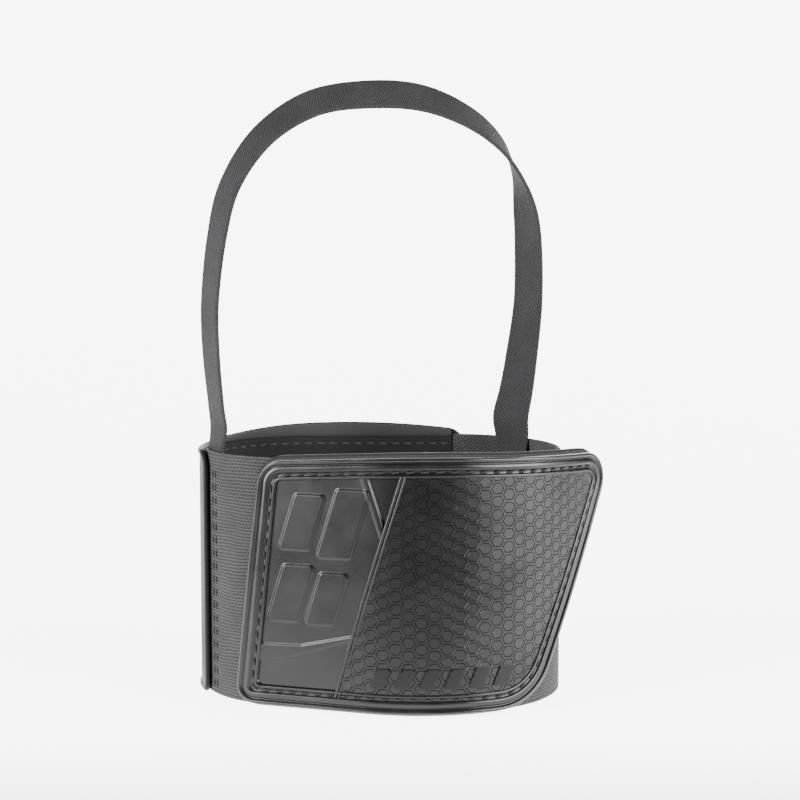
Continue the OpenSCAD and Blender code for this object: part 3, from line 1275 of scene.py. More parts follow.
@dataclass
class Shield:
    """Moulded shell, foam, backing, their stitches and the row of accent bars."""

    backing_t: float = 0.8
    padding_t: float = 1.5
    shell_t: float = 1.4
    flange_w: float = 1.2
    stitch_pitch: float = 4.1
    field_in: float = 7.1
    corners: tuple = ((-51.2, 0.0), (41.2, 0.0), (54.0, 34.5), (66.9, 76.2), (7.0, 79.7), (-43.2, 76.6))
    radii: tuple = (6.5, 21.0, 140.0, 9.7, 300.0, 9.0)
    hex_column: float = 3.62
    hex_row: float = 3.96
    hex_start: tuple[float, float] = (2.5, 3.0)
    hex_columns: range = range(-8, 30)
    hex_rows: range = range(-2, 24)
    diagonal_ends: tuple = ((-19.0, 5.0), (1.0, 72.4))
    recess_slope: float = 0.6
    recesses: tuple = (
        (Relief.FLOOR, ((-43.6, 21.4), (-41.5, 19.8), (-29.7, 20.2), (-14.4, 23.9), (-4.9, 51.0),
                        (-8.6, 62.5), (-12.6, 74.5), (-50.0, 74.5), (-50.0, 26.0))),
        (Relief.FLOOR, ((-44.6, 14.2), (-35.1, 15.7), (-24.2, 19.3), (-14.9, 22.6), (-19.6, 3.0),
                        (-52.0, 3.0))),
        (Relief.WEDGE, ((-10.4, 74.0), (-4.2, 55.2), (1.4, 74.0))),
    )  # fmt: skip
    pad_lean: float = 20.3 / 67.4
    pad_boxes: tuple = ((-36.6, 49.0, 9.4, 17.0), (-25.2, 47.0, 10.2, 21.0),
                        (-40.4, 27.0, 9.6, 17.5), (-28.8, 26.6, 8.8, 16.0))  # fmt: skip
    bar_count: int = 6
    bar_start: float = -9.5
    bar_pitch: float = 7.4
    bar_corners: tuple = ((0.0, 8.8), (4.6, 8.8), (7.0, 14.8), (2.4, 14.8))
    bar_t: float = 0.56
    stitch_tilt: float = 0.16
    path: PlanPath = field(default_factory=LAYOUT.shield)

    def __post_init__(self) -> None:
        """Works out the developed outline of the shield."""
        self.face = self.backing_t + self.padding_t + self.shell_t
        front = np.array(self.corners)
        s = self.path.length_at_x(front[:, 0], self.face)
        self.flat_corners = np.stack([s, front[:, 1]], axis=1)
        self.diagonal = self.develop(self.diagonal_ends)

    def develop(self, points: Sequence[tuple[float, float]]) -> np.ndarray:
        """Front-view places on the shell's face as places on the flat sheet."""
        p = np.array(points, float)
        return np.stack([self.path.length_at_x(p[:, 0], self.face), p[:, 1]], axis=1)

    def outline(self, d: float, least: float = 2.0, steps: int = 12) -> np.ndarray:
        """Flat outline of the shield, inset by d, with corners no sharper than a least radius."""
        radii = [max(r - d, least) for r in self.radii]
        return round_outline(inset_outline(self.flat_corners, d), radii, steps)

    def section(self) -> list[tuple[float, float, float]]:
        """Section of the rim.

        Returns:
            Distance from the outline, height over the backing's back, and share of rubbed polish and painted
            highlight, point by point.
        """
        e, f = self.flange_w, self.face
        levels = (Relief.BEAD, Relief.RIDGE, Relief.INNER_BEAD, Relief.CHANNEL)
        bead, ridge, inner, channel = (f + level.value for level in levels)
        base = self.backing_t + self.padding_t
        # The third number is the share of painted highlight and rubbed polish at that point.
        return [
            (7.4, base + 0.05, 0), (1.5, base + 0.05, 0), (1.22, base + 0.25, 0), (1.14, f - 0.2, 0.1),
            (e, bead - 0.42, 0.4), (e + 0.18, bead - 0.14, 0.9), (e + 0.5, bead, 1.0), (e + 0.85, bead - 0.06, 0.9),
            (e + 1.15, bead - 0.3, 0.4), (2.55, f + 0.12, 0), (2.78, f + 0.0, 0), (2.95, f + 0.1, 0),
            (3.12, ridge - 0.1, 0.35), (3.4, ridge, 0.5), (4.3, ridge + 0.04, 0.35), (4.62, ridge - 0.04, 0.5),
            (4.82, ridge - 0.25, 0.1), (5.0, channel + 0.05, 0), (5.3, channel, 0), (5.75, channel, 0),
            (6.0, channel + 0.08, 0), (6.16, inner - 0.16, 0.3), (6.4, inner, 0.9), (6.75, inner - 0.02, 0.9),
            (7.0, inner - 0.2, 0.3), (7.14, f - 0.1, 0), (7.4, f - 0.7, 0),
        ]  # fmt: skip

    def rim(self) -> bpy.types.Object:
        """Models the rim of the shell: bead, groove, ridge, stitch channel and inner bead.

        Returns:
            The closed rim.
        """
        rows, uv, wear_and_highlight = [], [], []
        for d, height, worn_and_lit in self.section():
            ring = self.even(self.outline(d, least=1.6, steps=14))
            x, y, _ = self.path.at(ring[:, 0], height)
            rows.append(np.stack([x, y, ring[:, 1]], axis=1))
            uv.append(ring)
            wear_and_highlight.append(np.full(len(ring), worn_and_lit))
        order = np.transpose(np.array(rows), (1, 0, 2))
        obj = sweep("rim", LAYOUT.place(order), np.transpose(np.array(uv), (1, 0, 2)), True, True)
        # Painted highlight and rubbed polish on the rim's crests.
        self.mark_wear_and_highlight(obj, 0.9)
        return settle(obj, WELD, 60)

    def even(self, ring: np.ndarray) -> np.ndarray:
        """Adds points on the long edges of an outline, the same number on every ring.

        Args:
            ring: The outline, with its corners rounded in equal steps.

        Returns:
            The outline with more points.
        """
        loop = np.vstack([ring, ring[:1]])
        out = []
        steps = len(ring) // len(self.radii)
        long_edge_cuts = 26
        for i, (a, b) in enumerate(zip(loop[:-1], loop[1:])):
            cuts = long_edge_cuts if (i + 1) % steps == 0 else 1
            out.extend(a + (b - a) * k / cuts for k in range(cuts))
        return np.array(out)

    def mark_wear_and_highlight(self, obj: bpy.types.Object, gain: float) -> None:
        """Marks crests for a painted highlight and a rubbed polish by how far they stand off the shell's face.

        Args:
            obj: The part of the shell.
            gain: Share of painted highlight and polish on the highest crests, from 0 to 1.
        """
        p = points_of(obj) / MM
        x, y = p[:, 0] + LAYOUT.mid[0], p[:, 1] + LAYOUT.mid[1]
        s = self.path.length_at_x(x, self.face)
        bx, by, a = self.path.at(s, 0.0)
        t = (x - bx) * np.sin(a) - (y - by) * np.cos(a)
        write_wear_and_highlight(obj, np.clip((t - self.face - 0.25) / 0.4, 0, 1) * gain)

    def hex_cell(self) -> bpy.types.Object:
        """Models one hexagon of the pattern, with a sunk ring round a low plate.

        Returns:
            The hexagon, flat in x and y.
        """
        bpy.ops.object.select_all(action="DESELECT")
        radius = self.hex_row / math.sqrt(3)
        bpy.ops.mesh.primitive_circle_add(vertices=6, radius=radius, fill_type="NGON")
        obj = bpy.context.active_object
        edit(obj)
        bpy.ops.transform.rotate(value=math.radians(30), orient_axis="Z", center_override=(0, 0, 0))
        for thickness, depth in ((0.27, 0.0), (0.12, -0.17), (0.07, 0.0), (0.12, 0.17)):
            bpy.ops.mesh.inset(
                thickness=thickness, depth=depth, use_boundary=True, use_even_offset=True
            )
        done()
        return obj

    def hex_field(self) -> bpy.types.Object:
        """Models the right field with its pattern of hexagons.

        Returns:
            The field, bent round the cuff.
        """
        border = self.field_border()
        spare = 4.0
        lo, hi = border.min(axis=0) - spare, border.max(axis=0) + spare
        places = []
        stretch = self.hex_column / (self.hex_row * math.sqrt(3) / 2)
        start = float(self.path.length_at_x(self.hex_start[0], self.face))
        for i in self.hex_columns:
            for k in self.hex_rows:
                s = start + i * self.hex_column
                z = self.hex_start[1] + (k + 0.5 * (i % 2)) * self.hex_row
                if lo[0] < s < hi[0] and lo[1] < z < hi[1]:
                    places.append((s, 0.0, z))
        turn = np.array([[stretch, 0, 0], [0, 0, -1.0], [0, 1.0, 0]])
        turns = np.tile(turn, (len(places), 1, 1))
        obj = copies("hex_field", self.hex_cell(), turns, np.array(places))
        edit(obj)
        bpy.ops.mesh.remove_doubles(threshold=0.03)
        done()
        trim(obj, border)
        a, b = self.diagonal
        trim(obj, np.array([b + (b - a), a - (b - a)]), closed=False)
        flat = points_of(obj)
        flat[:, 1] *= self.fade(flat[:, 0])
        move_points(obj, flat)
        wrap(obj, self.path, self.face)
        thicken(obj, 0.9, -1)
        self.mark_wear_and_highlight(obj, 0.0)
        return settle(obj, 0.0, 25)

    def field_border(self) -> np.ndarray:
        """Flat outline of both fields, which reaches a little under the inner bead."""
        return self.outline(self.field_in - 0.3)

    def fade(self, s: np.ndarray) -> np.ndarray:
        """How deep the pattern is: it runs out towards the free end."""
        end = self.flat_corners[3][0]
        return np.clip((end + 2 - s) / 26, 0.25, 1.0)

    def plain_field(self) -> bpy.types.Object:
        """Models the smooth left field with its recesses and four plain raised pads.

        Returns:
            The field, bent round the cuff.
        """
        obj = cut_flat("plain_field", self.field_border(), 0.25)
        a, b = self.diagonal
        trim(obj, np.array([a - (b - a), b + (b - a)]), closed=False)
        flat = points_of(obj)
        q = flat[:, [0, 2]]
        level = np.zeros(len(q))
        for relief, corners in self.recesses:
            shape = self.develop(corners)
            level += relief.value * ramp(signed_distance(q, shape), self.recess_slope)
        rise = Relief.PAD.value - Relief.FLOOR.value
        for pad in self.pads():
            level += rise * ramp(signed_distance(q, pad), self.recess_slope)
        flat[:, 1] = -level
        move_points(obj, flat)
        wrap(obj, self.path, self.face)
        write_wear_and_highlight(obj, np.zeros(len(level)))
        thicken(obj, 0.5, -1)
        return settle(obj, 0.0, 60)

    def pads(self) -> list[np.ndarray]:
        """Works out the plain pads: slanted blocks that lean with the diagonal bead.

        Returns:
            Their flat outlines.
        """
        out = []
        for x, z, w, h in self.pad_boxes:
            shift = h * self.pad_lean
            corners = [(x, z), (x + w, z), (x + w + shift, z + h), (x + shift, z + h)]
            out.append(round_outline(self.develop(corners), [1.2] * 4, 5))
        return out

    def diagonal_bead(self) -> bpy.types.Object:
        """Models the double bead between the two fields.

        Returns:
            The closed bead.
        """
        a, b = self.diagonal
        ahead = unit(b - a)
        side = np.array([ahead[1], -ahead[0]])
        section = [(-1.1, -0.9), (-1.02, -0.2), (-0.86, 0.26), (-0.56, 0.42), (-0.24, 0.34),
                   (-0.05, 0.0), (0.1, -0.12), (0.26, 0.0), (0.42, 0.22), (0.64, 0.28),
                   (0.86, 0.16), (1.0, -0.2), (1.04, -0.9)]  # fmt: skip
        rows, uv = [], []
        for f in np.linspace(0, 1, 60):
            spot = a + (b - a) * f
            q = np.array([spot + side * w for w, _ in section])
            x, y, _ = self.path.at(q[:, 0], self.face + np.array([h for _, h in section]))
            rows.append(np.stack([x, y, q[:, 1]], axis=1))
            uv.append(q)
        obj = sweep("diagonal_bead", LAYOUT.place(np.array(rows)), np.array(uv))
        # Painted highlight and rubbed polish on the bead's crests.
        self.mark_wear_and_highlight(obj, 0.8)
        return settle(obj, WELD, 50)

    def build_shell(self, finishes: Finishes) -> None:
        """Models the shell and joins its parts into one moulding.

        Args:
            finishes: The cuff's finishes.
        """
        parts = [self.rim(), self.hex_field(), self.plain_field(), self.diagonal_bead()]
        obj = join("shield_moulding", parts)
        dress(obj, finishes.shell, "shell_rubber", "cuff", "shield_shell")

    def build_layers(self, finishes: Finishes) -> None:
        """Models the foam and the woven backing that shows all round it.

        Args:
            finishes: The cuff's finishes.
        """
        cut = self.outline(0.0)
        back = cut_flat("backing", cut, 1.6)
        wrap(back, self.path, self.backing_t / 2)
        thicken(back, self.backing_t)
        round_edges(back, 0.22, 2)
        settle(back, 0.0, 50)
        dress(back, finishes.backing, "backing_fabric", "cuff", "shield_backing")
        foam = cut_flat("foam", self.outline(0.7), 1.8)
        wrap(foam, self.path, self.backing_t + self.padding_t / 2 + 0.02)
        thicken(foam, self.padding_t + 0.1)
        round_edges(foam, 0.45, 3)
        settle(foam, 0.0, 60)
        dress(foam, finishes.foam, "padding_foam", "cuff", "shield_padding")

    def build_stitches(self, finishes: Finishes) -> None:
        """Sews the row of stitches in the rim's channel.

        Args:
            finishes: The cuff's finishes.
        """
        line = self.outline(5.5, least=2.4)
        closed = np.vstack([line, line[:1]])
        length = float(np.linalg.norm(np.diff(closed, axis=0), axis=1).sum())
        spots, ahead = along(line, round(length / self.stitch_pitch))
        x, y, a = self.path.at(spots[:, 0], self.face + Relief.CHANNEL.value)
        cos_tilt, sin_tilt = math.cos(self.stitch_tilt), math.sin(self.stitch_tilt)
        du = ahead[:, 0] * cos_tilt - ahead[:, 1] * sin_tilt
        dz = ahead[:, 0] * sin_tilt + ahead[:, 1] * cos_tilt
        forward = np.stack([du * np.cos(a), du * np.sin(a), dz], axis=1)
        out = np.stack([np.sin(a), -np.cos(a), np.zeros(len(a))], axis=1)
        rows = (np.stack([x, y, spots[:, 1]], axis=1), forward, out)
        sew("shield_seam", Stitch(3.1, 0.85, 0.6), rows, finishes.thread, "shield_stitching")

    def build_bars(self, finishes: Finishes) -> None:
        """Models the row of plain slanted gloss bars near the lower edge.

        Args:
            finishes: The cuff's finishes.
        """
        parts = []
        for i in range(self.bar_count):
            x = self.bar_start + i * self.bar_pitch
            cut = self.develop([(x + dx, z) for dx, z in self.bar_corners])
            bar = cut_flat("bar", round_outline(cut, [0.5] * 4, 3), 0.9)
            wrap(bar, self.path, self.face + 0.12)
            thicken(bar, self.bar_t)
            round_edges(bar, 0.14, 2)
            parts.append(bar)
        obj = settle(join("gloss_bars", parts), 0.0, 40)
        dress(obj, finishes.gloss, "accent_gloss", "cuff", "accent_bars")

    def build(self, finishes: Finishes) -> None:
        """Builds the whole shield.

        Args:
            finishes: The cuff's finishes.
        """
        self.build_shell(finishes)
        self.build_layers(finishes)
        self.build_stitches(finishes)
        self.build_bars(finishes)


# ---------------------------------------------------------------- elastics
@dataclass
class WideElastic:
    """A wide woven elastic with raised ribs and plain selvedges."""

    name: str
    node: str
    path: PlanPath
    thickness: float = 1.5
    rib: float = 1.0
    relief: float = 0.13
    selvedge: float = 1.6
    samples: int = 5
    inner_turn: float = math.radians(38)

    def section(self) -> tuple[np.ndarray, np.ndarray]:
        """Section of the band, up the outside and down the inside.

        Returns:
            Heights and outward distances.
        """
        h = LAYOUT.band_h
        n = int(h / self.rib) * self.samples
        z = np.linspace(0.35, h - 0.35, n)
        edge = np.clip((np.minimum(z, h - z) - self.selvedge) / 0.5, 0, 1)
        wave = np.abs(np.sin(math.pi * z / self.rib)) ** 0.8
        crest = self.relief * (wave - 1) * edge - 0.05 * (1 - edge)
        outer = np.stack([z, crest], axis=1)
        inner = np.stack([z[::-1], -self.thickness - 0.3 * crest[::-1]], axis=1)
        top = np.array([[h - 0.1, -0.35], [h, -0.75], [h - 0.1, -1.15]])
        foot = np.array([[0.1, -1.15], [0.0, -0.75], [0.1, -0.35]])
        loop = np.concatenate([outer, top, inner, foot])
        return loop[:, 0], loop[:, 1]

    def build(self, finishes: Finishes) -> None:
        """Weaves the band along its path.

        Args:
            finishes: The cuff's finishes.
        """
        z, t = self.section()
        length = self.path.s[-1] - self.path.s[0]
        s = np.linspace(self.path.s[0], self.path.s[-1], int(length / 1.2) + 1)
        ss, tt = np.meshgrid(s, t, indexing="ij")
        zz = np.tile(z, (len(s), 1))
        drift = 0.18 * np.sin(ss / 5.3 + zz * 0.21) + 0.1 * np.sin(ss / 2.1 - zz * 0.13)
        free = np.clip(np.minimum(zz, LAYOUT.band_h - zz) / 6, 0, 1)
        x, y, _ = self.path.at(ss, tt)
        rows = np.stack([x, y, zz + drift * free], axis=2)
        inside = tt < -self.thickness / 2
        cos_turn, sin_turn = math.cos(self.inner_turn), math.sin(self.inner_turn)
        across = np.where(inside, ss * cos_turn + zz * sin_turn, ss)
        upward = np.where(inside, zz * cos_turn - ss * sin_turn, zz)
        uv = np.stack([across, upward], axis=2)
        obj = settle(sweep(self.name, LAYOUT.place(rows), uv), 0.0, 70)
        dress(obj, finishes.web, "elastic_web", "cuff", self.node)


# ---------------------------------------------------------------- rear
@dataclass
class RearPanel:
    """Flexible rear panel with its rim bead, lining, edge tape and stitches."""

    height: float = 79.8
    crown_r: float = 280.0
    crown_x: float = -17.0
    lining_h: float = 75.0
    corner_r: float = 6.0
    least_r: float = 1.2
    sheet_in: float = 6.6
    stitch_pitch: float = 4.1
    path: PlanPath = field(default_factory=LAYOUT.rear)

    def top(self, x: np.ndarray, drop: float = 0.0) -> np.ndarray:
        """Height of the crowned top edge at a sideways place."""
        return self.height - drop - self.crown_r + np.sqrt(self.crown_r**2 - (x - self.crown_x) ** 2)

    def frame_at(self, d: float) -> tuple[np.ndarray, np.ndarray]:
        """Ring of flat places round the panel, inset by d, with rounded corners.

        Args:
            d: Distance from the panel's edge.

        Returns:
            Lengths along the path, and heights.
        """
        s0, s1 = self.path.s[0] + d, self.path.s[-1] - d
        r = max(self.corner_r - d, self.least_r)
        foot, long_side, short_side = 2, 90, 40
        corner = np.linspace(0, math.pi / 2, 9)[1:-1]
        crown = np.linspace(s1 - r, s0 + r, long_side)
        x, _, _ = self.path.at(crown, LAYOUT.rear_t)
        start_z = float(self.top(self.path.at(s0 + r, 0)[0], d))
        end_z = float(self.top(self.path.at(s1 - r, 0)[0], d))
        legs = [
            (crown, self.top(x, d)),
            (s0 + r - r * np.sin(corner), start_z - r + r * np.cos(corner)),
            (np.full(short_side, s0), np.linspace(start_z - r, d + foot, short_side)),
            (np.linspace(s0 + foot, s1 - foot, long_side), np.full(long_side, d)),
            (np.full(short_side, s1), np.linspace(d + foot, end_z - r, short_side)),
            (s1 - r + r * np.cos(corner), end_z - r + r * np.sin(corner)),
        ]
        return np.concatenate([s for s, _ in legs]), np.concatenate([z for _, z in legs])

    def build_panel(self, finishes: Finishes) -> None:
        """Models the moulded panel: a plain sheet with a low bead round its edge.

        Args:
            finishes: The cuff's finishes.
        """
        t = LAYOUT.rear_t
        section = [(7.0, 0.12), (0.9, 0.05), (0.2, 0.25), (0.0, t * 0.5), (0.15, t - 0.25), (0.6, t),
                   (1.3, t), (1.7, t - 0.35), (2.2, t - 0.5), (3.4, t - 0.5), (7.0, t - 0.45)]  # fmt: skip
        rings, uv = [], []
        for d, height in section:
            s, z = self.frame_at(d)
            x, y, _ = self.path.at(s, height)
            rings.append(np.stack([x, y, z], axis=1))
            uv.append(np.stack([s, z], axis=1))
        order = np.transpose(np.array(rings), (1, 0, 2))
        rim = sweep("rear_rim", LAYOUT.place(order), np.transpose(np.array(uv), (1, 0, 2)), True, True)
        settle(rim, WELD, 60)
        nu, nv, d = 100, 50, self.sheet_in
        s, _ = self.frame_at(d)
        plain = grid("rear_sheet", nu, nv)
        f, g = np.meshgrid(np.linspace(0, 1, nu), np.linspace(0, 1, nv))
        ss = s.min() + (s.max() - s.min()) * f.ravel()
        x, _, _ = self.path.at(ss, t)
        zz = d + (self.top(x, d) - d) * g.ravel()
        move_points(plain, np.stack([ss, np.zeros(len(ss)), zz], axis=1))
        wrap(plain, self.path, t / 2 - 0.2)
        thicken(plain, t - 0.6)
        settle(plain, 0.0, 40)
        write_wear_and_highlight(rim, np.zeros(len(rim.data.vertices)))
        panel = join("rear_moulding", [rim, plain])
        dress(panel, finishes.rear, "rear_rubber", "cuff", "rear_panel")

    def build_lining(self, finishes: Finishes) -> None:
        """Models the cloth lining and the tape that covers its upper edge.

        Args:
            finishes: The cuff's finishes.
        """
        path = LAYOUT.lining()
        length = float(path.s[-1])
        nu, nv = int(length / 1.4), 48
        lining = grid("rear_cloth", nu, nv)
        f, g = np.meshgrid(np.linspace(0, 1, nu), np.linspace(0, 1, nv))
        s, z = length * f.ravel(), self.lining_h * g.ravel()
        soft = 0.12 * np.sin(s / 3.7) * np.sin(z / 5.1) + 0.08 * np.sin(s / 1.9 + z / 2.7)
        move_points(lining, np.stack([s, soft * np.clip(z / 8, 0, 1), z], axis=1))
        wrap(lining, path, -0.75)
        thicken(lining, 1.3)
        settle(lining, 0.0, 50)
        dress(lining, finishes.lining, "lining_fabric", "cuff", "rear_lining")
        tape = self.tape(path)
        dress(tape, finishes.binding, "binding_tape", "cuff", "rear_edge_binding")

    def tape(self, path: PlanPath) -> bpy.types.Object:
        """Models the flat tape along the top of the lining, with rounded edges.

        Args:
            path: The lining's path.

        Returns:
            The tape.
        """
        s = np.linspace(path.s[0] + 0.2, path.s[-1] - 0.2, 110)
        rows, uv = [], []
        for q in s:
            x, _, _ = path.at(q, 0)
            high = float(self.top(x)) - 0.35
            low = self.lining_h + 0.1
            section = [(low, -0.08), (high - 0.2, -0.08), (high, -0.3), (high, -0.6),
                       (high - 0.3, -0.88), (low + 0.3, -0.95), (low, -0.8)]  # fmt: skip
            px, py, _ = path.at(np.full(len(section), q), np.array([t for _, t in section]))
            rows.append(np.stack([px, py, np.array([z for z, _ in section])], axis=1))
            uv.append([(q, z) for z, _ in section])
        return settle(sweep("edge_tape", LAYOUT.place(np.array(rows)), np.array(uv)), WELD, 50)

    def build_stitches(self, finishes: Finishes) -> None:
        """Sews the lining's row and the upright rows of both seams.

        Args:
            finishes: The cuff's finishes.
        """
        grey, pitch = finishes.grey_thread, self.stitch_pitch
        lining = LAYOUT.lining()
        s = np.arange(2.5, lining.s[-1] - 6, pitch)
        rows = level_row(lining, s, -1.42, np.full(len(s), self.lining_h - 2.2), -1)
        sew("rear_cloth_seam", Stitch(3.0, 0.8, 0.6), rows, grey, "rear_stitching")
        web = LAYOUT.left()
        rows = gather_rows(upright_row(web, q, 0.0, 3.5, 73, pitch, 1) for q in left_spots(-60.0, -56.4))
        sew("left_seam", Stitch(3.0, 0.6, 0.5), rows, finishes.thread, "left_seam_stitching")
        web = LAYOUT.right()
        rows = gather_rows(upright_row(web, web.s[-1] - d, -1.5, 4, 72, pitch, -1) for d in (1.3, 3.1))
        sew("right_seam", Stitch(3.0, 0.7, 0.5), rows, grey, "right_seam_stitching")

    def build(self, finishes: Finishes) -> None:
        """Builds the rear panel and everything sewn to it.

        Args:
            finishes: The cuff's finishes.
        """
        self.build_panel(finishes)
        self.build_lining(finishes)
        self.build_stitches(finishes)


def left_spots(*stations: float) -> list[float]:
    """Lengths along the left elastic at station angles of its left arc."""
    web = LAYOUT.left()
    places = (on_arc(LAYOUT.left_c, LAYOUT.left_r, a)[0] for a in stations)
    return [float(web.length_at_x(x, 0.0)) for x in places]


def build_shield_seams(finishes: Finishes) -> None:
    """Sews both elastics to the back of the shield.

    Args:
        finishes: The cuff's finishes.
    """
    grey, stitch, pitch = finishes.grey_thread, Stitch(3.0, 0.7, 0.5), 4.1
    web = LAYOUT.left()
    rows = gather_rows(upright_row(web, s, -1.5, 4, 73, pitch, -1) for s in left_spots(-25, -30))
    sew("shield_left_rows", stitch, rows, grey, "shield_left_seam")
    web = LAYOUT.right()
    per_degree = math.pi / 180 * LAYOUT.front_r
    spots = [(a - LAYOUT.right_from) * per_degree for a in (21, 24)]
    rows = gather_rows(upright_row(web, s, -1.5, 4, 73, pitch, -1) for s in spots)
    sew("shield_right_rows", stitch, rows, grey, "shield_right_seam")


# ---------------------------------------------------------------- strap
@dataclass
class StrapLoop:
    """Narrow elastic strap that rises over the cuff, with both ends sewn inside it."""

    width: float = 12.5
    thickness: float = 1.2
    left_station: float = -69.8
    right_station: float = 138.6
    tab_route: tuple = ((21.5, 0.0), (34.0, 0.0), (48.0, 0.0), (62.0, 0.02), (71.0, 0.15),
                        (77.0, 0.7), (83.0, 1.35))  # fmt: skip
    rib: float = 1.0
    tack_heights: tuple = (59.0, 68.0)
    tack_stitches: int = 13
    tack_pitch: float = 0.72
    route: tuple = (
        (-0.8, 90.0, 8.0), (-2.2, 106.0, 10.0), (-2.4, 122.0, 11.0), (0.0, 142.0, 14.0),
        (4.4, 158.0, 18.0), (15.0, 173.0, 27.0), (31.0, 183.0, 38.0), (50.0, 186.0, 45.0),
        (67.0, 185.0, 46.0), (82.0, 179.4, 40.0), (92.6, 171.4, 30.0), (98.6, 161.5, 10.0),
        (101.6, 150.0, -14.0), (102.8, 138.0, -22.0), (102.8, 120.0, -25.0),
        (100.6, 102.0, -32.0), (98.8, 91.0, -38.0),
    )  # fmt: skip

    def __post_init__(self) -> None:
        """Works out the anchors and the loop's plane."""
        inner = LAYOUT.elastic_t
        self.left = np.array(on_arc(LAYOUT.left_c, LAYOUT.left_r - inner - 2.3, self.left_station))
        self.right = np.array(on_arc(LAYOUT.side_c, LAYOUT.side_r - inner - 1.7, self.right_station))
        self.axis = unit(self.right - self.left)
        self.back = np.array([-self.axis[1], self.axis[0]])

    def tab(
        self, centre: tuple[float, float], radius: float, station: float, front: float, lift: float
    ) -> list[np.ndarray]:
        """Route points of a tab on the inside of the band, from the foot upwards.

        Args:
            centre: Centre of the band's arc there.
            radius: Radius of the band's path.
            station: Station angle of the tab.
            front: 1 or -1, the sense in which the tangent points forward.
            lift: Turn of the strap about its length where it leaves the cuff, in degrees.

        Returns:
            Rows of place, width direction and cross curve.
        """
        a = math.radians(station)
        tangent = np.array([math.cos(a), math.sin(a), 0.0]) * front
        outwards = np.array([math.sin(a), -math.cos(a), 0.0])
        sewn_to = 71
        out = []
        for z, inward in self.tab_route:
            r = radius - LAYOUT.elastic_t - self.thickness / 2 - 0.12 - inward
            x, y = on_arc(centre, r, station)
            curve = 1.0 / r if z <= sewn_to else 0.3 / r
            turn = math.radians(lift * max(0.0, (z - sewn_to) / 12))
            across = tangent * math.cos(turn) + outwards * math.sin(turn)
            out.append(np.array([x, y, z, *across, curve]))
        return out

    def rows(self) -> np.ndarray:
        """Joins the left tab, the loop and the right tab.

        Returns:
            Route points: place, width direction and how much the strap curves across.
        """
        left = self.tab(LAYOUT.left_c, LAYOUT.left_r, self.left_station, 1.0, -7.0)
        right = self.tab(LAYOUT.side_c, LAYOUT.side_r, self.right_station, -1.0, 14.0)
        loop = []
        plane = np.array([(u, z) for u, z, _ in self.route])
        for i, (u, z, roll) in enumerate(self.route):
            d = unit(plane[min(i + 1, len(plane) - 1)] - plane[max(i - 1, 0)])
            inward = np.array([*(self.axis * d[1]), -d[0]])
            toward = np.array([*(-self.back), 0.0])
            w = inward * math.sin(math.radians(roll)) + toward * math.cos(math.radians(roll))
            p = self.left + self.axis * u
            loop.append(np.array([p[0], p[1], z, *w, 0.0]))
        return np.array(left + loop + right[::-1])

    def smooth(self, rows: np.ndarray, step: float) -> tuple[np.ndarray, np.ndarray]:
        """Runs a smooth curve through the rows.

        Args:
            rows: Route rows.
            step: Distance between the new rows.

        Returns:
            The new rows and their length along the strap.
        """
        padded = np.vstack([2 * rows[0] - rows[1], rows, 2 * rows[-1] - rows[-2]])
        out = []
        for i in range(1, len(padded) - 2):
            a, b, c, d = padded[i - 1 : i + 3]
            for t in np.linspace(0, 1, 40, endpoint=False):
                square, cube = 2 * a - 5 * b + 4 * c - d, 3 * b - a - 3 * c + d
                out.append(0.5 * (2 * b + (c - a) * t + square * t**2 + cube * t**3))
        out.append(rows[-1])
        fine = np.array(out)
        lens = np.concatenate([[0], np.cumsum(np.linalg.norm(np.diff(fine[:, :3], axis=0), axis=1))])
        s = np.arange(0, lens[-1], step)
        return np.stack([np.interp(s, lens, fine[:, k]) for k in range(7)], axis=1), s

    def section(self) -> np.ndarray:
        """Section of the strap.

        Returns:
            Place across, height and share of rib relief, point by point.
        """
        w, t = self.width / 2, self.thickness / 2
        face = [(-w + 0.25, t - 0.12, 0.5), (-w + 0.9, t + 0.04, 0.5), (-w + 1.4, t - 0.02, 0.6)]
        face += [(x, t, 1.0) for x in np.linspace(-w + 1.9, w - 1.9, 9)]
        face += [(w - 1.4, t - 0.02, 0.6), (w - 0.9, t + 0.04, 0.5), (w - 0.25, t - 0.12, 0.5)]
        edge = [(w, 0.25, 0.0), (w, -0.25, 0.0)]
        under = [(-x, -h, r) for x, h, r in face]
        return np.array(face + edge + under + [(-x, -h, r) for x, h, r in edge])

    def build(self, finishes: Finishes) -> None:
        """Weaves the strap along its route and sews the tacks that hold its tabs.

        Args:
            finishes: The cuff's finishes.
        """
        rows, s = self.smooth(self.rows(), 0.25)
        place, w = rows[:, :3], rows[:, 3:6]
        ahead = np.gradient(place, axis=0)
        ahead /= np.linalg.norm(ahead, axis=1)[:, None]
        w = w - (w * ahead).sum(axis=1)[:, None] * ahead
        w /= np.linalg.norm(w, axis=1)[:, None]
        n = np.cross(ahead, w)
        section = self.section()
        across, height, relief = section.T
        phase = 2 * math.pi * (s[:, None] + 0.22 * across[None, :]) / self.rib
        rib = 0.05 * np.cos(phase) * relief * np.sign(height)
        selvedge = (np.abs(across) > self.width / 2 - 0.5) * np.sign(across)
        tooth = 0.07 * np.cos(2 * math.pi * s[:, None] / self.rib) * selvedge
        centre = np.array([*(0.5 * (self.left + self.right)), 50.0])
        inside = np.sign(((centre - place) * n).sum(axis=1))
        bend = inside[:, None] * rows[:, 6:7] * across[None, :] ** 2 / 2
        grid_rows = (
            place[:, None, :]
            + w[:, None, :] * (across[None, :] + tooth)[:, :, None]
            + n[:, None, :] * (height[None, :] + rib + bend)[:, :, None]
        )
        uv = np.stack([np.tile(across, (len(s), 1)), np.tile(s[:, None], (1, len(across)))], axis=2)
        strap = settle(sweep("strap", LAYOUT.place(grid_rows), uv), 0.0, 75)
        dress(strap, finishes.strap, "strap_web", None, "heel_loop", "loop_end_left", "loop_end_right")
        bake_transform(strap)
        self.build_tacks(finishes)

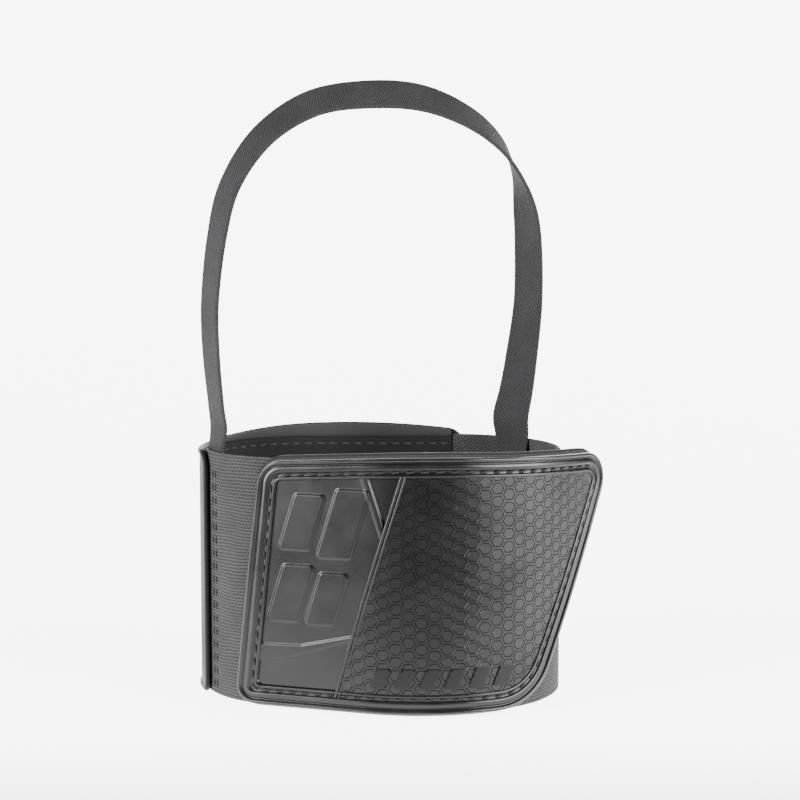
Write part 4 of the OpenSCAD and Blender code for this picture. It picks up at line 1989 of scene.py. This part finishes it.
    def build_tacks(self, finishes: Finishes) -> None:
        """Sews the bar tacks that hold both tabs.

        Args:
            finishes: The cuff's finishes.
        """
        sides = (
            ("left_tacks", "bar_tack_left", LAYOUT.left_c, LAYOUT.left_r, self.left_station),
            ("right_tacks", "bar_tack_right", LAYOUT.side_c, LAYOUT.side_r, self.right_station),
        )
        for name, node, centre, radius, station in sides:
            places, ahead, out = [], [], []
            face = radius - LAYOUT.elastic_t - self.thickness - 0.15
            for z0 in self.tack_heights:
                for k in range(self.tack_stitches):
                    turn = station + (k - self.tack_stitches // 2) * self.tack_pitch / face * 180 / math.pi
                    x, y = on_arc(centre, face, turn)
                    a = math.radians(turn)
                    places.append((x, y, z0 + 0.8))
                    ahead.append((0.28 * math.cos(a), 0.28 * math.sin(a), 0.96))
                    out.append((-math.sin(a), math.cos(a), 0.0))
            rows = (np.array(places), np.array(ahead), np.array(out))
            sew(name, Stitch(2.0, 0.55, 0.5), rows, finishes.grey_thread, node)


# ---------------------------------------------------------------- studio
@dataclass
class Studio:
    """Pale seamless paper, soft lights and the camera."""

    lens: float = 87.0
    camera_place: tuple[float, float, float] = (-0.00037, -0.59975, 0.1541)
    camera_pitch: float = 6.0
    sensor: float = 36.0
    sky: float = 0.12
    paper_reach: float = 4.0
    paper_top: float = 2.2
    paper_wall: float = 0.62
    paper_bend: float = 0.3
    paper_drop: float = 0.0004

    def build_paper(self, finishes: Finishes) -> None:
        """Lays the paper on the floor and rolls it up behind the object.

        Args:
            finishes: The cuff's finishes.
        """
        reach, bend, wall = self.paper_reach, self.paper_bend, self.paper_wall
        profile = [(-reach, 0.0), (wall - bend, 0.0)]
        turns = np.linspace(0.1, math.pi / 2, 12)
        profile += [(wall - bend + bend * math.sin(a), bend - bend * math.cos(a)) for a in turns]
        profile += [(wall, self.paper_top)]
        paper = grid("paper", 2, len(profile))
        rows = [[(x, y, z - self.paper_drop) for x in (-reach, reach)] for y, z in profile]
        move_points(paper, np.array(rows).reshape(-1, 3))
        pick(paper)
        bpy.ops.object.shade_smooth()
        paper.data.materials.append(finishes.paper)
        paper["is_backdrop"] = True

    def light(
        self,
        name: str,
        place: Sequence[float],
        size: tuple[float, float],
        power: float,
        aim: Sequence[float] = (0, 0, 0.08),
    ) -> None:
        """Hangs a soft box that faces the object.

        Args:
            name: Name of the light.
            place: Its place in metres.
            size: Width and height in metres.
            power: Power in watts.
            aim: The point that it faces.
        """
        data = bpy.data.lights.new(name, "AREA")
        data.shape, data.size, data.size_y, data.energy = "RECTANGLE", size[0], size[1], power
        obj = bpy.data.objects.new(name, data)
        bpy.context.scene.collection.objects.link(obj)
        obj.location = place
        toward = Vector(aim) - Vector(place)
        obj.rotation_euler = toward.to_track_quat("-Z", "Y").to_euler()

    def build(self, finishes: Finishes) -> None:
        """Builds the set.

        Args:
            finishes: The cuff's finishes.
        """
        self.build_paper(finishes)
        self.light("left_box", (-0.81, -0.49, 0.32), (0.36, 0.7), 62.0)
        self.light("right_box", (0.85, -0.4, 0.34), (0.9, 0.7), 68.0)
        self.light("top_box", (0.0, 0.1, 0.9), (0.6, 0.4), 1.0, aim=(0.0, 0.1, 0.0))
        world = bpy.data.worlds.new("studio")
        world.use_nodes = True
        sky = world.node_tree.nodes["Background"]
        sky.inputs[0].default_value = (1.0, 1.0, 1.0, 1.0)
        sky.inputs[1].default_value = self.sky
        bpy.context.scene.world = world
        data = bpy.data.cameras.new("camera")
        data.lens, data.sensor_width, data.clip_start = self.lens, self.sensor, 0.01
        camera = bpy.data.objects.new("camera", data)
        bpy.context.scene.collection.objects.link(camera)
        camera.location = self.camera_place
        camera.rotation_euler = (math.radians(90 - self.camera_pitch), 0, 0)
        bpy.context.scene.camera = camera


def main() -> None:
    """Builds the pieces in order."""
    logging.basicConfig(level=logging.INFO, format="%(name)s: %(message)s")
    finishes = Finishes()
    Shield().build(finishes)
    WideElastic("left_web", "left_elastic", LAYOUT.left()).build(finishes)
    WideElastic("right_web", "right_elastic", LAYOUT.right()).build(finishes)
    RearPanel().build(finishes)
    build_shield_seams(finishes)
    StrapLoop().build(finishes)
    Studio().build(finishes)
    as_lists: Callable = lambda box: [[float(v) for v in corner] for corner in box]
    {"cad": as_lists(CAD_BOX), "visual": as_lists(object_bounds())}


if __name__ == "__main__":
    main()
